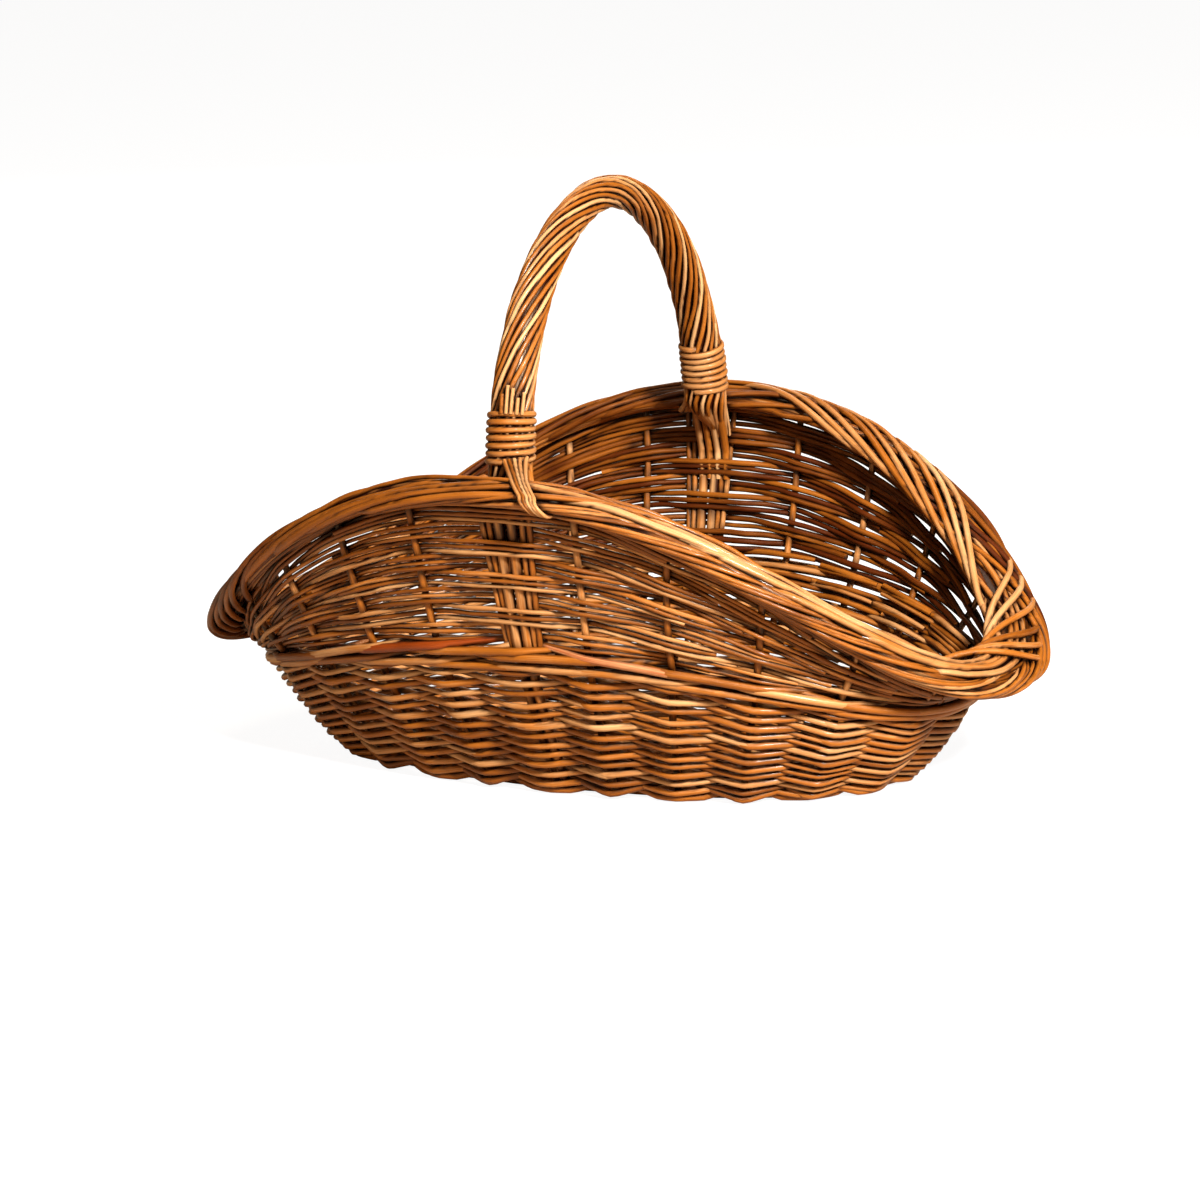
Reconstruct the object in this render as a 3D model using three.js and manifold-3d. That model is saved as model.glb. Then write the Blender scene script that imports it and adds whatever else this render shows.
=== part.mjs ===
// A wicker harvest basket: an oval woven base, an open flaring wall that is low at both ends and high at both
// sides, a rolled border and a fixed roped bow handle across the middle. Millimetres, +Z up, X along the
// length, Y across. The origin is on the ground under the middle of the base.
import * as THREE from "three";
import { mergeVertices } from "three/addons/utils/BufferGeometryUtils.js";
import Module from "manifold-3d";

// Overall sizes
const length = 450;
const width = 300;
const sideHeight = 170; // top of the border beside the handle
const endHeight = 60; // middle of the border at the two low ends
const handleRise = 130; // from the border to the top of the handle
const clearance = 0.3;

// Foot of the wall and the base inside it
const footLength = 302;
const footWidth = 150;
const baseThickness = 6;
const longStickDiameter = 4;
const longStickSpacing = 15;
const longStickCount = 3;
const shortStickDiameter = 6.4;
const shortStickSpacing = 42;
const shortStickCount = 5;
const stickLift = 4.4; // height of the sticks' centre lines
const stickEndInset = 7; // from the edge of the base to the ends of the sticks

// Wall
const waistLength = 380;
const waistWidth = 230;
const waistSideHeight = 79;
const waistEndHeight = 48;
const planRoundness = 2.2; // 2 is a true ellipse, more is squarer
const saddlePower = 2.3; // how late the wall climbs from its low ends to its high sides
const wallThickness = 8.6;
const waleThickness = 11.5;
const waleSwell = 1.2; // how much the waist band swells towards its middle on each side
const upsettThickness = 12;
const upsettTaper = 1;
const lowerBulge = 3;
const upperBulge = 1.5;
const upsettTop = 0.15; // a share of the lower wall's height
const lowerRows = 20; // rods above each other, each in front of one stake and behind the next
const lowerRowReach = 1.5; // how far each row moves out at one stake and in at the next
const waleShare = 0.07; // half the waist band's height, as a share of the lower wall's

// Stakes, the upright rods that the wall is woven on
const stakePlaces = 24; // two of these places hold the handle's legs
const stakeDiameter = 4;
const stakeFootShare = 0.05; // how high the stakes start inside the foot
const stakeTopDepth = 4; // how far the stakes reach into the border

// Border
const borderEndHalfWidth = 16;
const borderSideHalfWidth = 16;
const borderEndHalfHeight = 9;
const borderSideHalfHeight = 7;
const borderEndTilt = 22; // degrees, outer edge down
const borderRibs = 9; // strands that show round the border
const borderGroove = 1.4;
const borderTurns = 2; // turns of the strands on their way round the basket

// Handle
const handleDiameter = 17.4;
const handleFootDiameter = 22.4;
const handleFootFlare = 150; // length over which each leg widens towards its foot
const handleInset = 25; // from the border's middle line to the legs' middle lines
const archRoundness = 1.94;
const ropeFootDrop = 2; // how far the legs reach below the top of the border
const ropeRods = 10;
const ropeTurns = 2;
const ropeGroove = 1.2;
const coreDiameter = 6;
const coreFootShare = 0.14; // how far above the waist the core ends, as a share of the upper wall
const coreBendShare = 0.42; // where the core leaves the wall for the handle's foot
const bindingRodDiameter = 2.8;
const bindingPitch = 3.65;
const bindingTurns = 7;
const linerOffsets = [-11.6, -6.6, 6.6, 11.6];
const linerDiameters = [3.2, 4.4, 4.4, 3.2];
const tailOffsets = [-5.6, -1.9, 1.9, 5.6];
const tailDiameter = 3;
const bindingBend = 2.24; // radius of the quarter bend in which a binding's ends turn in
const tailFrom = 125; // degrees round the border, 90 at its top and 0 at its outer edge
const tailTo = 38;

// Fineness of the solids
const stepsPerBay = 2;
const rodSides = 6;
const stakeSides = 5;
const archSteps = 32;
const tailSteps = 5;
const bindingSteps = 16;

// Sizes worked out from those above
const borderTilt = THREE.MathUtils.degToRad(borderEndTilt);
const borderEndReach = Math.hypot(
  borderEndHalfWidth * Math.cos(borderTilt),
  borderEndHalfHeight * Math.sin(borderTilt),
);
const rimHalfLength = length / 2 - borderEndReach;
const rimHalfWidth = width / 2 - borderSideHalfWidth;
const rimSideHeight = sideHeight - borderSideHalfHeight;
const legHalfSpan = rimHalfWidth - handleInset;
const archFoot = sideHeight - ropeFootDrop;
const archTop = sideHeight + handleRise - handleDiameter / 2;
const sections = stakePlaces * stepsPerBay;
const bandGap = clearance * 0.7; // from a band's edge to its level, measured up the wall
const handlePlaces = [
  { name: "back", side: 1, share: 0.25 },
  { name: "front", side: -1, share: 0.75 },
];

const wasm = await Module();
wasm.setup();
const basket = new THREE.Group();

// Meshes and solids
function loft(rings, closed) {
  const count = rings[0].length;
  const points = rings.flat();
  const faces = [];
  const spans = closed ? rings.length : rings.length - 1;
  for (let i = 0; i < spans; i += 1) {
    const next = (i + 1) % rings.length;
    for (let j = 0; j < count; j += 1) {
      const a = i * count + j;
      const b = i * count + ((j + 1) % count);
      const c = next * count + ((j + 1) % count);
      const d = next * count + j;
      faces.push(a, b, c, a, c, d);
    }
  }
  if (!closed) {
    const first = points.push(middle(rings[0])) - 1;
    const last = points.push(middle(rings.at(-1))) - 1;
    const start = (rings.length - 1) * count;
    for (let j = 0; j < count; j += 1) {
      const next = (j + 1) % count;
      faces.push(first, next, j);
      faces.push(last, start + j, start + next);
    }
  }
  const geometry = new THREE.BufferGeometry();
  geometry.setFromPoints(points);
  geometry.setIndex(faces);
  return facingOut(geometry);
}

function middle(ring) {
  const sum = new THREE.Vector3();
  ring.forEach((point) => sum.add(point));
  return sum.divideScalar(ring.length);
}

function facingOut(geometry) {
  const place = geometry.getAttribute("position");
  const index = geometry.index.array;
  const a = new THREE.Vector3();
  const b = new THREE.Vector3();
  const c = new THREE.Vector3();
  let volume = 0;
  for (let i = 0; i < index.length; i += 3) {
    a.fromBufferAttribute(place, index[i]);
    b.fromBufferAttribute(place, index[i + 1]);
    c.fromBufferAttribute(place, index[i + 2]);
    volume += a.dot(b.cross(c));
  }
  if (volume < 0) {
    for (let i = 0; i < index.length; i += 3) {
      const first = index[i];
      index[i] = index[i + 1];
      index[i + 1] = first;
    }
  }
  return geometry;
}

// A rod along a list of points, with level ends square to its path
function rod(points, diameter, sides = rodSides) {
  const radius = diameter / 2;
  const rings = [];
  const start = points[1].clone().sub(points[0]).normalize();
  const nearX = Math.abs(start.x) > 0.8;
  let across = nearX ? new THREE.Vector3(0, 1, 0) : new THREE.Vector3(1, 0, 0);
  points.forEach((point, i) => {
    const before = points[Math.max(i - 1, 0)];
    const after = points[Math.min(i + 1, points.length - 1)];
    const along = after.clone().sub(before).normalize();
    across = across.clone().addScaledVector(along, -across.dot(along)).normalize();
    const other = new THREE.Vector3().crossVectors(along, across);
    const ring = [];
    for (let j = 0; j < sides; j += 1) {
      const angle = (j / sides) * 2 * Math.PI;
      const spoke = across.clone().multiplyScalar(radius * Math.cos(angle));
      spoke.addScaledVector(other, radius * Math.sin(angle));
      ring.push(point.clone().add(spoke));
    }
    rings.push(ring);
  });
  return loft(rings, false);
}

function toSolid(geometry) {
  const plain = geometry.clone();
  plain.deleteAttribute("normal");
  plain.deleteAttribute("uv");
  const merged = mergeVertices(plain, 1e-5);
  const vertProperties = new Float32Array(merged.getAttribute("position").array);
  const triVerts = new Uint32Array(merged.index.array);
  return new wasm.Manifold(new wasm.Mesh({ numProp: 3, vertProperties, triVerts }));
}

function toGeometry(solid) {
  const mesh = solid.getMesh();
  const geometry = new THREE.BufferGeometry();
  geometry.setAttribute("position", new THREE.BufferAttribute(new Float32Array(mesh.vertProperties), 3));
  geometry.setIndex(Array.from(mesh.triVerts));
  return geometry;
}

function cut(geometry, cutters) {
  let solid = toSolid(geometry);
  cutters.forEach((cutter) => {
    solid = solid.subtract(toSolid(cutter));
  });
  return toGeometry(solid);
}

function willow(color, roughness) {
  return new THREE.MeshStandardMaterial({ color, roughness, metalness: 0 });
}

const brown = willow(0xa8672f, 0.5);
const darkBrown = willow(0x8d5427, 0.5);
const reddish = willow(0x9a5228, 0.45);
const golden = willow(0xc58a4c, 0.45);
const pale = willow(0xb9834a, 0.5);

function place(name, geometry, material) {
  geometry.computeVertexNormals();
  const mesh = new THREE.Mesh(geometry, material);
  mesh.name = name;
  basket.add(mesh);
}

// The wall's middle surface: share runs once round the basket from the +X end, level from 0 at the foot over
// 1 at the waist to 2 at the rim
function oval(halfLength, halfWidth, angle, height) {
  const power = 2 / planRoundness;
  const cos = Math.cos(angle);
  const sin = Math.sin(angle);
  const x = halfLength * Math.sign(cos) * Math.abs(cos) ** power;
  const y = halfWidth * Math.sign(sin) * Math.abs(sin) ** power;
  return new THREE.Vector3(x, y, height);
}

function sideness(angle) {
  return Math.abs(Math.sin(angle)) ** saddlePower;
}

function waistAt(angle) {
  const height = THREE.MathUtils.lerp(waistEndHeight, waistSideHeight, sideness(angle));
  return oval(waistLength / 2, waistWidth / 2, angle, height);
}

function rimAt(angle) {
  const height = THREE.MathUtils.lerp(endHeight, rimSideHeight, sideness(angle));
  return oval(rimHalfLength, rimHalfWidth, angle, height);
}

// A quarter of the waist measured in small steps, so that places round it are evenly apart
const quarterSteps = 400;
const quarterLengths = [0];
for (let i = 1; i <= quarterSteps; i += 1) {
  const here = waistAt((i / quarterSteps) * (Math.PI / 2));
  const before = waistAt(((i - 1) / quarterSteps) * (Math.PI / 2));
  quarterLengths.push(quarterLengths[i - 1] + here.distanceTo(before));
}
const waistRound = 4 * quarterLengths[quarterSteps];

function angleAt(share) {
  const quarters = (((share % 1) + 1) % 1) * 4;
  const quarter = Math.floor(quarters + 1e-9);
  const odd = quarter % 2 === 1;
  const part = quarters - quarter;
  const wanted = (odd ? 1 - part : part) * quarterLengths[quarterSteps];
  let i = 1;
  while (i < quarterSteps && quarterLengths[i] < wanted) {
    i += 1;
  }
  const rest = (wanted - quarterLengths[i - 1]) / (quarterLengths[i] - quarterLengths[i - 1]);
  const angle = ((i - 1 + rest) / quarterSteps) * (Math.PI / 2);
  return odd ? (quarter + 1) * (Math.PI / 2) - angle : quarter * (Math.PI / 2) + angle;
}

function plainWall(share, level) {
  const angle = angleAt(share);
  if (level <= 1) {
    return oval(footLength / 2, footWidth / 2, angle, 0).lerp(waistAt(angle), level);
  }
  return waistAt(angle).lerp(rimAt(angle), level - 1);
}

function wallRise(share, level) {
  const near = 0.1;
  return plainWall(share, level + near).sub(plainWall(share, Math.max(level - near, 0))).normalize();
}

function wallNormal(share, level) {
  const near = 0.003;
  const round = plainWall(share + near, level).sub(plainWall(share - near, level));
  return round.cross(wallRise(share, level)).normalize();
}

// A point of the wall, moved out by offset and up the wall by lift
function wall(share, level, offset = 0, lift = 0) {
  const part = level <= 1 ? level : level - 1;
  const bulge = (level <= 1 ? lowerBulge : upperBulge) * 4 * part * (1 - part);
  const point = plainWall(share, level).addScaledVector(wallNormal(share, level), bulge + offset);
  return point.addScaledVector(wallRise(share, level), lift);
}

function outwardAt(share) {
  const small = 0.002;
  const round = rimAt(angleAt(share + small)).sub(rimAt(angleAt(share - small)));
  return new THREE.Vector3(round.y, -round.x, 0).normalize();
}

function borderFrame(share) {
  const angle = angleAt(share);
  const side = sideness(angle);
  const tilt = borderTilt * (1 - side);
  const outward = outwardAt(share);
  const across = outward.clone().multiplyScalar(Math.cos(tilt));
  across.z = -Math.sin(tilt);
  const upward = outward.clone().multiplyScalar(Math.sin(tilt));
  upward.z = Math.cos(tilt);
  return {
    centre: rimAt(angle),
    across,
    upward,
    halfWidth: THREE.MathUtils.lerp(borderEndHalfWidth, borderSideHalfWidth, side),
    halfHeight: THREE.MathUtils.lerp(borderEndHalfHeight, borderSideHalfHeight, side),
  };
}

// The level at which the wall, coming up from the waist, is one clearance away from the border
function wallTop(share, depth = -clearance) {
  const frame = borderFrame(share);
  const waist = waistAt(angleAt(share));
  const rise = frame.centre.clone().sub(waist);
  const tall = rise.length();
  rise.normalize();
  const reach = Math.hypot(
    rise.dot(frame.across) * frame.halfWidth,
    rise.dot(frame.upward) * frame.halfHeight,
  );
  return 2 - (reach - depth) / tall;
}

// A band that goes once round the basket; section gives the corners at one place
function band(section) {
  const rings = [];
  for (let i = 0; i < sections; i += 1) {
    rings.push(section(i / sections));
  }
  return loft(rings, true);
}

// A section of the wall: each corner has a level and its offsets outside and inside the middle surface; the
// first and last keep their distance to the bands below and above
function wallSection(share, corners) {
  const lifts = corners.map(() => 0);
  lifts[0] = bandGap;
  lifts[corners.length - 1] = -bandGap;
  const outer = corners.map(({ level, outside }, i) => wall(share, level, outside, lifts[i]));
  const inner = corners.map(({ level, inside }, i) => wall(share, level, -inside, lifts[i]));
  return [...outer, ...inner.reverse()];
}

// A plain band of the wall between two levels
function wallBand(levelsAt, thickness, swell) {
  return band((share) => {
    const [bottom, top] = levelsAt(share);
    const half = thickness / 2;
    const corners = [
      { level: bottom, outside: half, inside: half },
      { level: (bottom + top) / 2, outside: half + swell, inside: half + swell },
      { level: top, outside: half, inside: half },
    ];
    return wallSection(share, corners);
  });
}

// A band of single rows, each in front of one stake and behind the next
function wovenBand(bottom, top, rows, thickness, reach) {
  return band((share) => {
    const stake = share * stakePlaces;
    const half = thickness / 2;
    const corners = [{ level: bottom, outside: half, inside: half }];
    for (let row = 0; row < rows; row += 1) {
      const level = bottom + ((row + 0.5) / rows) * (top - bottom);
      const out = reach * Math.cos(Math.PI * (stake + row));
      corners.push({ level, outside: half + out, inside: half - out });
    }
    corners.push({ level: top, outside: half, inside: half });
    return wallSection(share, corners);
  });
}

// Stakes: every place round the basket but the two where the handle's legs go down
function stakeShares() {
  const shares = [];
  for (let i = 0; i < stakePlaces; i += 1) {
    const share = i / stakePlaces;
    if (!handlePlaces.some((foot) => Math.abs(foot.share - share) < 0.5 / stakePlaces)) {
      shares.push(share);
    }
  }
  return shares;
}

function stakePath(share) {
  const top = wallTop(share, stakeTopDepth);
  const levels = [stakeFootShare, 0.5, 1, (1 + top) / 2, top];
  return levels.map((level) => wall(share, level));
}

const stakes = stakeShares().map(stakePath);
const stakeSockets = stakes.map((path) => rod(path, stakeDiameter + 2 * clearance, stakeSides));
stakes.forEach((path, i) => {
  place(`stake_${String(i + 1).padStart(2, "0")}`, rod(path, stakeDiameter, stakeSides), pale);
});

// Handle: a bow core that runs down into both sides, and the roping wound round it
function archPoint(turn) {
  const power = 2 / archRoundness;
  const y = -legHalfSpan * Math.sign(Math.cos(turn)) * Math.abs(Math.cos(turn)) ** power;
  const z = archFoot + (archTop - archFoot) * Math.abs(Math.sin(turn)) ** power;
  return new THREE.Vector3(0, y, z);
}

const arch = [];
for (let i = 0; i <= archSteps; i += 1) {
  arch.push(archPoint((i / archSteps) * Math.PI));
}
const archLengths = [0];
for (let i = 1; i <= archSteps; i += 1) {
  archLengths.push(archLengths[i - 1] + arch[i].distanceTo(arch[i - 1]));
}
const archLength = archLengths[archSteps];

// The roping's largest radius at a distance along the arch from its nearer foot
function ropeRadius(distance) {
  const near = Math.min(distance, archLength - distance);
  const part = THREE.MathUtils.clamp(1 - near / handleFootFlare, 0, 1);
  return THREE.MathUtils.lerp(handleDiameter, handleFootDiameter, part) / 2;
}

function corePath() {
  const legs = handlePlaces.map((foot) => {
    const low = wall(foot.share, 1 + coreFootShare).setX(0);
    const high = wall(foot.share, 1 + coreBendShare).setX(0);
    const legFoot = new THREE.Vector3(0, foot.side * legHalfSpan, archFoot);
    const between = high.clone().add(legFoot).divideScalar(2);
    return [low, high, between];
  });
  const [backLeg, frontLeg] = legs;
  return [...frontLeg, ...arch, ...backLeg.reverse()];
}

const core = corePath();
const coreSocket = rod(core, coreDiameter + 2 * clearance);
place("handle_bow", rod(core, coreDiameter), pale);

function ropeRing(i) {
  const along = arch[Math.min(i + 1, archSteps)].clone().sub(arch[Math.max(i - 1, 0)]).normalize();
  const across = new THREE.Vector3(1, 0, 0);
  const other = new THREE.Vector3().crossVectors(along, across);
  const reach = ropeRadius(archLengths[i]);
  const twist = (archLengths[i] / archLength) * ropeTurns * 2 * Math.PI;
  const ring = [];
  for (let j = 0; j < 2 * ropeRods; j += 1) {
    const angle = twist + (j / (2 * ropeRods)) * 2 * Math.PI;
    const radius = j % 2 === 0 ? reach : reach - ropeGroove;
    const point = arch[i].clone().addScaledVector(across, radius * Math.cos(angle));
    ring.push(point.addScaledVector(other, radius * Math.sin(angle)));
  }
  return ring;
}

// Each binding is one rod wound round a leg; its two ends turn in and stop inside the roping
function bindingPath(foot) {
  const rise = bindingTurns * bindingPitch;
  const first = ropeFootDrop + bindingRodDiameter;
  const wound = [];
  const steps = bindingTurns * bindingSteps;
  for (let i = 0; i <= steps; i += 1) {
    const distance = first + (i / steps) * rise;
    const turn = (i / bindingSteps) * 2 * Math.PI;
    const radius = ropeRadius(distance) + clearance + bindingRodDiameter / 2;
    wound.push({ distance, turn, radius });
  }
  const points = wound.map(({ distance, turn, radius }) => legPoint(foot, distance, turn, radius));
  const start = turnedIn(foot, wound[0], -1);
  const end = turnedIn(foot, wound.at(-1), 1);
  return { points: [...start.reverse(), ...points, ...end], start, end };
}

function legPoint(foot, distance, turn, radius) {
  let i = 1;
  while (archLengths[i] < distance) {
    i += 1;
  }
  const part = (distance - archLengths[i - 1]) / (archLengths[i] - archLengths[i - 1]);
  const archTurn = ((i - 1 + part) / archSteps) * Math.PI;
  const near = 0.02;
  const middlePoint = archPoint(archTurn);
  const along = archPoint(archTurn + near).sub(archPoint(archTurn - near)).normalize();
  const across = new THREE.Vector3(1, 0, 0);
  const other = new THREE.Vector3().crossVectors(along, across);
  const start = Math.PI / 2;
  middlePoint.addScaledVector(across, radius * Math.cos(start + turn));
  middlePoint.addScaledVector(other, radius * Math.sin(start + turn));
  if (foot.side > 0) {
    middlePoint.y = -middlePoint.y;
    middlePoint.x = -middlePoint.x;
  }
  return middlePoint;
}

// From the last point of the winding, a quarter bend and a straight run square to the leg
function turnedIn(foot, last, way) {
  const bendSteps = 4;
  const points = [];
  for (let i = 1; i <= bendSteps; i += 1) {
    const angle = (i / bendSteps) * (Math.PI / 2);
    const radius = last.radius - bindingBend * (1 - Math.cos(angle));
    const turn = last.turn + (way * bindingBend * Math.sin(angle)) / last.radius;
    points.push(legPoint(foot, last.distance, turn, radius));
  }
  const turn = last.turn + (way * bindingBend) / last.radius;
  points.push(legPoint(foot, last.distance, turn, last.radius - bindingBend - bindingRodDiameter));
  return points;
}

function leastGap(points, diameter, turnPoints) {
  let least = Infinity;
  for (let i = 0; i < points.length; i += 1) {
    for (let j = i + turnPoints; j < points.length; j += 1) {
      least = Math.min(least, points[i].distanceTo(points[j]));
    }
  }
  return least - diameter;
}

const bindings = handlePlaces.map((foot) => ({ foot, ...bindingPath(foot) }));
let roping = cut(loft(arch.map((point, i) => ropeRing(i)), false), [coreSocket]);
bindings.forEach(({ start, end }) => {
  const pockets = [start, end].map((points) => rod(points, bindingRodDiameter + 2 * clearance));
  roping = cut(roping, pockets);
});
place("handle_roping", roping, golden);

bindings.forEach(({ foot, points }) => {
  const gap = leastGap(points, bindingRodDiameter, bindingSteps / 2);
  console.log(`handle_binding_${foot.name}: least gap between turns ${gap.toFixed(2)} mm`);
  place(`handle_binding_${foot.name}`, rod(points, bindingRodDiameter), golden);
});

// Short thick rods that stand in the wall beside each leg
const liners = [];
handlePlaces.forEach((foot) => {
  linerOffsets.forEach((offset, i) => {
    const share = foot.share + offset / waistRound;
    const top = wallTop(share, stakeTopDepth);
    const levels = [1 + coreFootShare, (1 + coreFootShare + top) / 2, top];
    const path = levels.map((level) => wall(share, level));
    liners.push({ path, diameter: linerDiameters[i] });
    place(`handle_liner_${foot.name}_${i + 1}`, rod(path, linerDiameters[i]), pale);
  });
});
const linerSockets = liners.map(({ path, diameter }) => rod(path, diameter + 2 * clearance));

// Ends of the roping that come out under each binding and bend over the border
handlePlaces.forEach((foot) => {
  tailOffsets.forEach((offset, i) => {
    const share = foot.share - (foot.side * offset) / waistRound;
    const frame = borderFrame(share);
    const reach = tailDiameter / 2 + 2 * clearance;
    const points = [];
    for (let step = 0; step <= tailSteps; step += 1) {
      const part = step / tailSteps;
      const angle = THREE.MathUtils.degToRad(THREE.MathUtils.lerp(tailFrom, tailTo, part));
      const point = frame.centre.clone();
      point.addScaledVector(frame.across, (frame.halfWidth + reach) * Math.cos(angle));
      point.addScaledVector(frame.upward, (frame.halfHeight + reach) * Math.sin(angle));
      points.push(point);
    }
    place(`handle_tail_${foot.name}_${i + 1}`, rod(points, tailDiameter), golden);
  });
});

// Bands of the wall, from the ground up
const upsett = band((share) => {
  const half = upsettThickness / 2;
  const foot = plainWall(share, 0);
  const outward = outwardAt(share);
  const lift = -clearance / 2;
  return [
    foot.clone().addScaledVector(outward, half),
    wall(share, upsettTop, half - upsettTaper, lift),
    wall(share, upsettTop, upsettTaper - half, lift),
    foot.clone().addScaledVector(outward, -half),
  ];
});
place("upsett_wale", cut(upsett, stakeSockets), darkBrown);

const lowerWeave = wovenBand(upsettTop, 1 - waleShare, lowerRows, wallThickness, lowerRowReach);
place("lower_weave", cut(lowerWeave, stakeSockets), brown);

const waistWale = wallBand(() => [1 - waleShare, 1 + waleShare], waleThickness - 2 * waleSwell, waleSwell);
place("waist_wale", cut(waistWale, stakeSockets), reddish);

const upperWeave = wallBand((share) => [1 + waleShare, wallTop(share)], wallThickness, 0);
place("upper_weave", cut(upperWeave, [...stakeSockets, ...linerSockets, coreSocket]), brown);

// Border: strands laid side by side round its middle line
const border = band((share) => {
  const frame = borderFrame(share);
  const ring = [];
  for (let j = 0; j < 2 * borderRibs; j += 1) {
    const angle = (j / (2 * borderRibs) - share * borderTurns) * 2 * Math.PI;
    const groove = j % 2 === 0 ? 0 : borderGroove;
    const point = frame.centre.clone();
    point.addScaledVector(frame.across, (frame.halfWidth - groove) * Math.cos(angle));
    point.addScaledVector(frame.upward, (frame.halfHeight - groove) * Math.sin(angle));
    ring.push(point);
  }
  return ring;
});
place("border", cut(border, [...stakeSockets, ...linerSockets, coreSocket]), brown);

// Base: long sticks pushed through split short ones, and the weave round them
const longSticks = [];
const shortSticks = [];
function baseEdge(share) {
  const inside = upsettThickness / 2 + clearance;
  const point = wall(share, 0);
  point.z = 0;
  return point.addScaledVector(outwardAt(share), -inside);
}

function stick(reach, along, spacing, i, count) {
  const aside = (i - (count - 1) / 2) * spacing;
  return [-1, 1].map((way) => {
    const end = way * reach(aside);
    return along === "x" ? new THREE.Vector3(end, aside, stickLift) : new THREE.Vector3(aside, end, stickLift);
  });
}

function halfExtent(halfAlong, halfAside, aside) {
  const part = 1 - (Math.abs(aside) / halfAside) ** planRoundness;
  return halfAlong * part ** (1 / planRoundness) - stickEndInset;
}

const baseHalfLength = baseEdge(0).x;
const baseHalfWidth = baseEdge(0.25).y;
for (let i = 0; i < longStickCount; i += 1) {
  const reach = (aside) => halfExtent(baseHalfLength, baseHalfWidth, aside);
  longSticks.push(stick(reach, "x", longStickSpacing, i, longStickCount));
}
for (let i = 0; i < shortStickCount; i += 1) {
  const reach = (aside) => halfExtent(baseHalfWidth, baseHalfLength, aside);
  shortSticks.push(stick(reach, "y", shortStickSpacing, i, shortStickCount));
}
const longSockets = longSticks.map((path) => rod(path, longStickDiameter + 2 * clearance));
const shortSockets = shortSticks.map((path) => rod(path, shortStickDiameter + 2 * clearance));
longSticks.forEach((path, i) => place(`base_long_stick_${i + 1}`, rod(path, longStickDiameter), pale));
shortSticks.forEach((path, i) => {
  place(`base_short_stick_${i + 1}`, cut(rod(path, shortStickDiameter), longSockets), pale);
});

const baseOutline = [];
for (let i = 0; i < sections; i += 1) {
  const point = baseEdge(i / sections);
  baseOutline.push(new THREE.Vector2(point.x, point.y));
}
const baseWeave = new THREE.ExtrudeGeometry(new THREE.Shape(baseOutline), {
  depth: baseThickness,
  bevelEnabled: false,
});
place("base_weave", cut(baseWeave, [...longSockets, ...shortSockets]), darkBrown);

export default basket;
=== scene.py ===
"""A wicker harvest basket: each willow rod of its base, wall, border and handle, over the solids."""
import math

import bpy
import numpy as np
from bpy.props import FloatProperty, FloatVectorProperty, IntProperty, PointerProperty
from mathutils import Matrix, Vector


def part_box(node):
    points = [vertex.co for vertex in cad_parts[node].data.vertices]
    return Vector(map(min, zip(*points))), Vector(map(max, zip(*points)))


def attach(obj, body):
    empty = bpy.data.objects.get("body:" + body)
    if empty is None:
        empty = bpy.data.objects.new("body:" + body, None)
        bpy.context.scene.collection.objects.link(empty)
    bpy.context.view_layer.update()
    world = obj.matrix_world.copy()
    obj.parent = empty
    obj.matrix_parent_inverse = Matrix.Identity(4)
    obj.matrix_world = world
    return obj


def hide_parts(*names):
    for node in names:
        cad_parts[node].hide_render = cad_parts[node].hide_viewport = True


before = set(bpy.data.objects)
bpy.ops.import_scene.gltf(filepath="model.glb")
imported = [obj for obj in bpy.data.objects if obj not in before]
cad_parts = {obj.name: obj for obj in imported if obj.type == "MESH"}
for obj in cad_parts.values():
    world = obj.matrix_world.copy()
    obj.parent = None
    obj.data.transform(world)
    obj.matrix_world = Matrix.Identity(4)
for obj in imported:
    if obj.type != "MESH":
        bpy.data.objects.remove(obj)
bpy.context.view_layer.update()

bl_info = {
    "name": "Wicker harvest basket",
    "version": (1, 0, 0),
    "blender": (4, 5, 0),
    "location": "3D View > Sidebar > Basket",
    "description": "Weaves an oval willow basket with a rolled border and a roped handle",
    "category": "Add Mesh",
}

BORDER_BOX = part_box("border")
ROPING_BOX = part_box("handle_roping")
BASE_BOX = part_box("base_weave")


def size(name, default, description):
    """A length of the basket in metres."""
    return FloatProperty(name=name, description=description, default=default, unit="LENGTH", precision=4)


def share(name, default, description):
    """A plain number between pieces, such as a share of a height."""
    return FloatProperty(name=name, description=description, default=default, precision=3)


def count(name, default, description):
    return IntProperty(name=name, description=description, default=default)


def colour(name, default, description):
    return FloatVectorProperty(name=name, description=description, default=default, subtype="COLOR")


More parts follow.
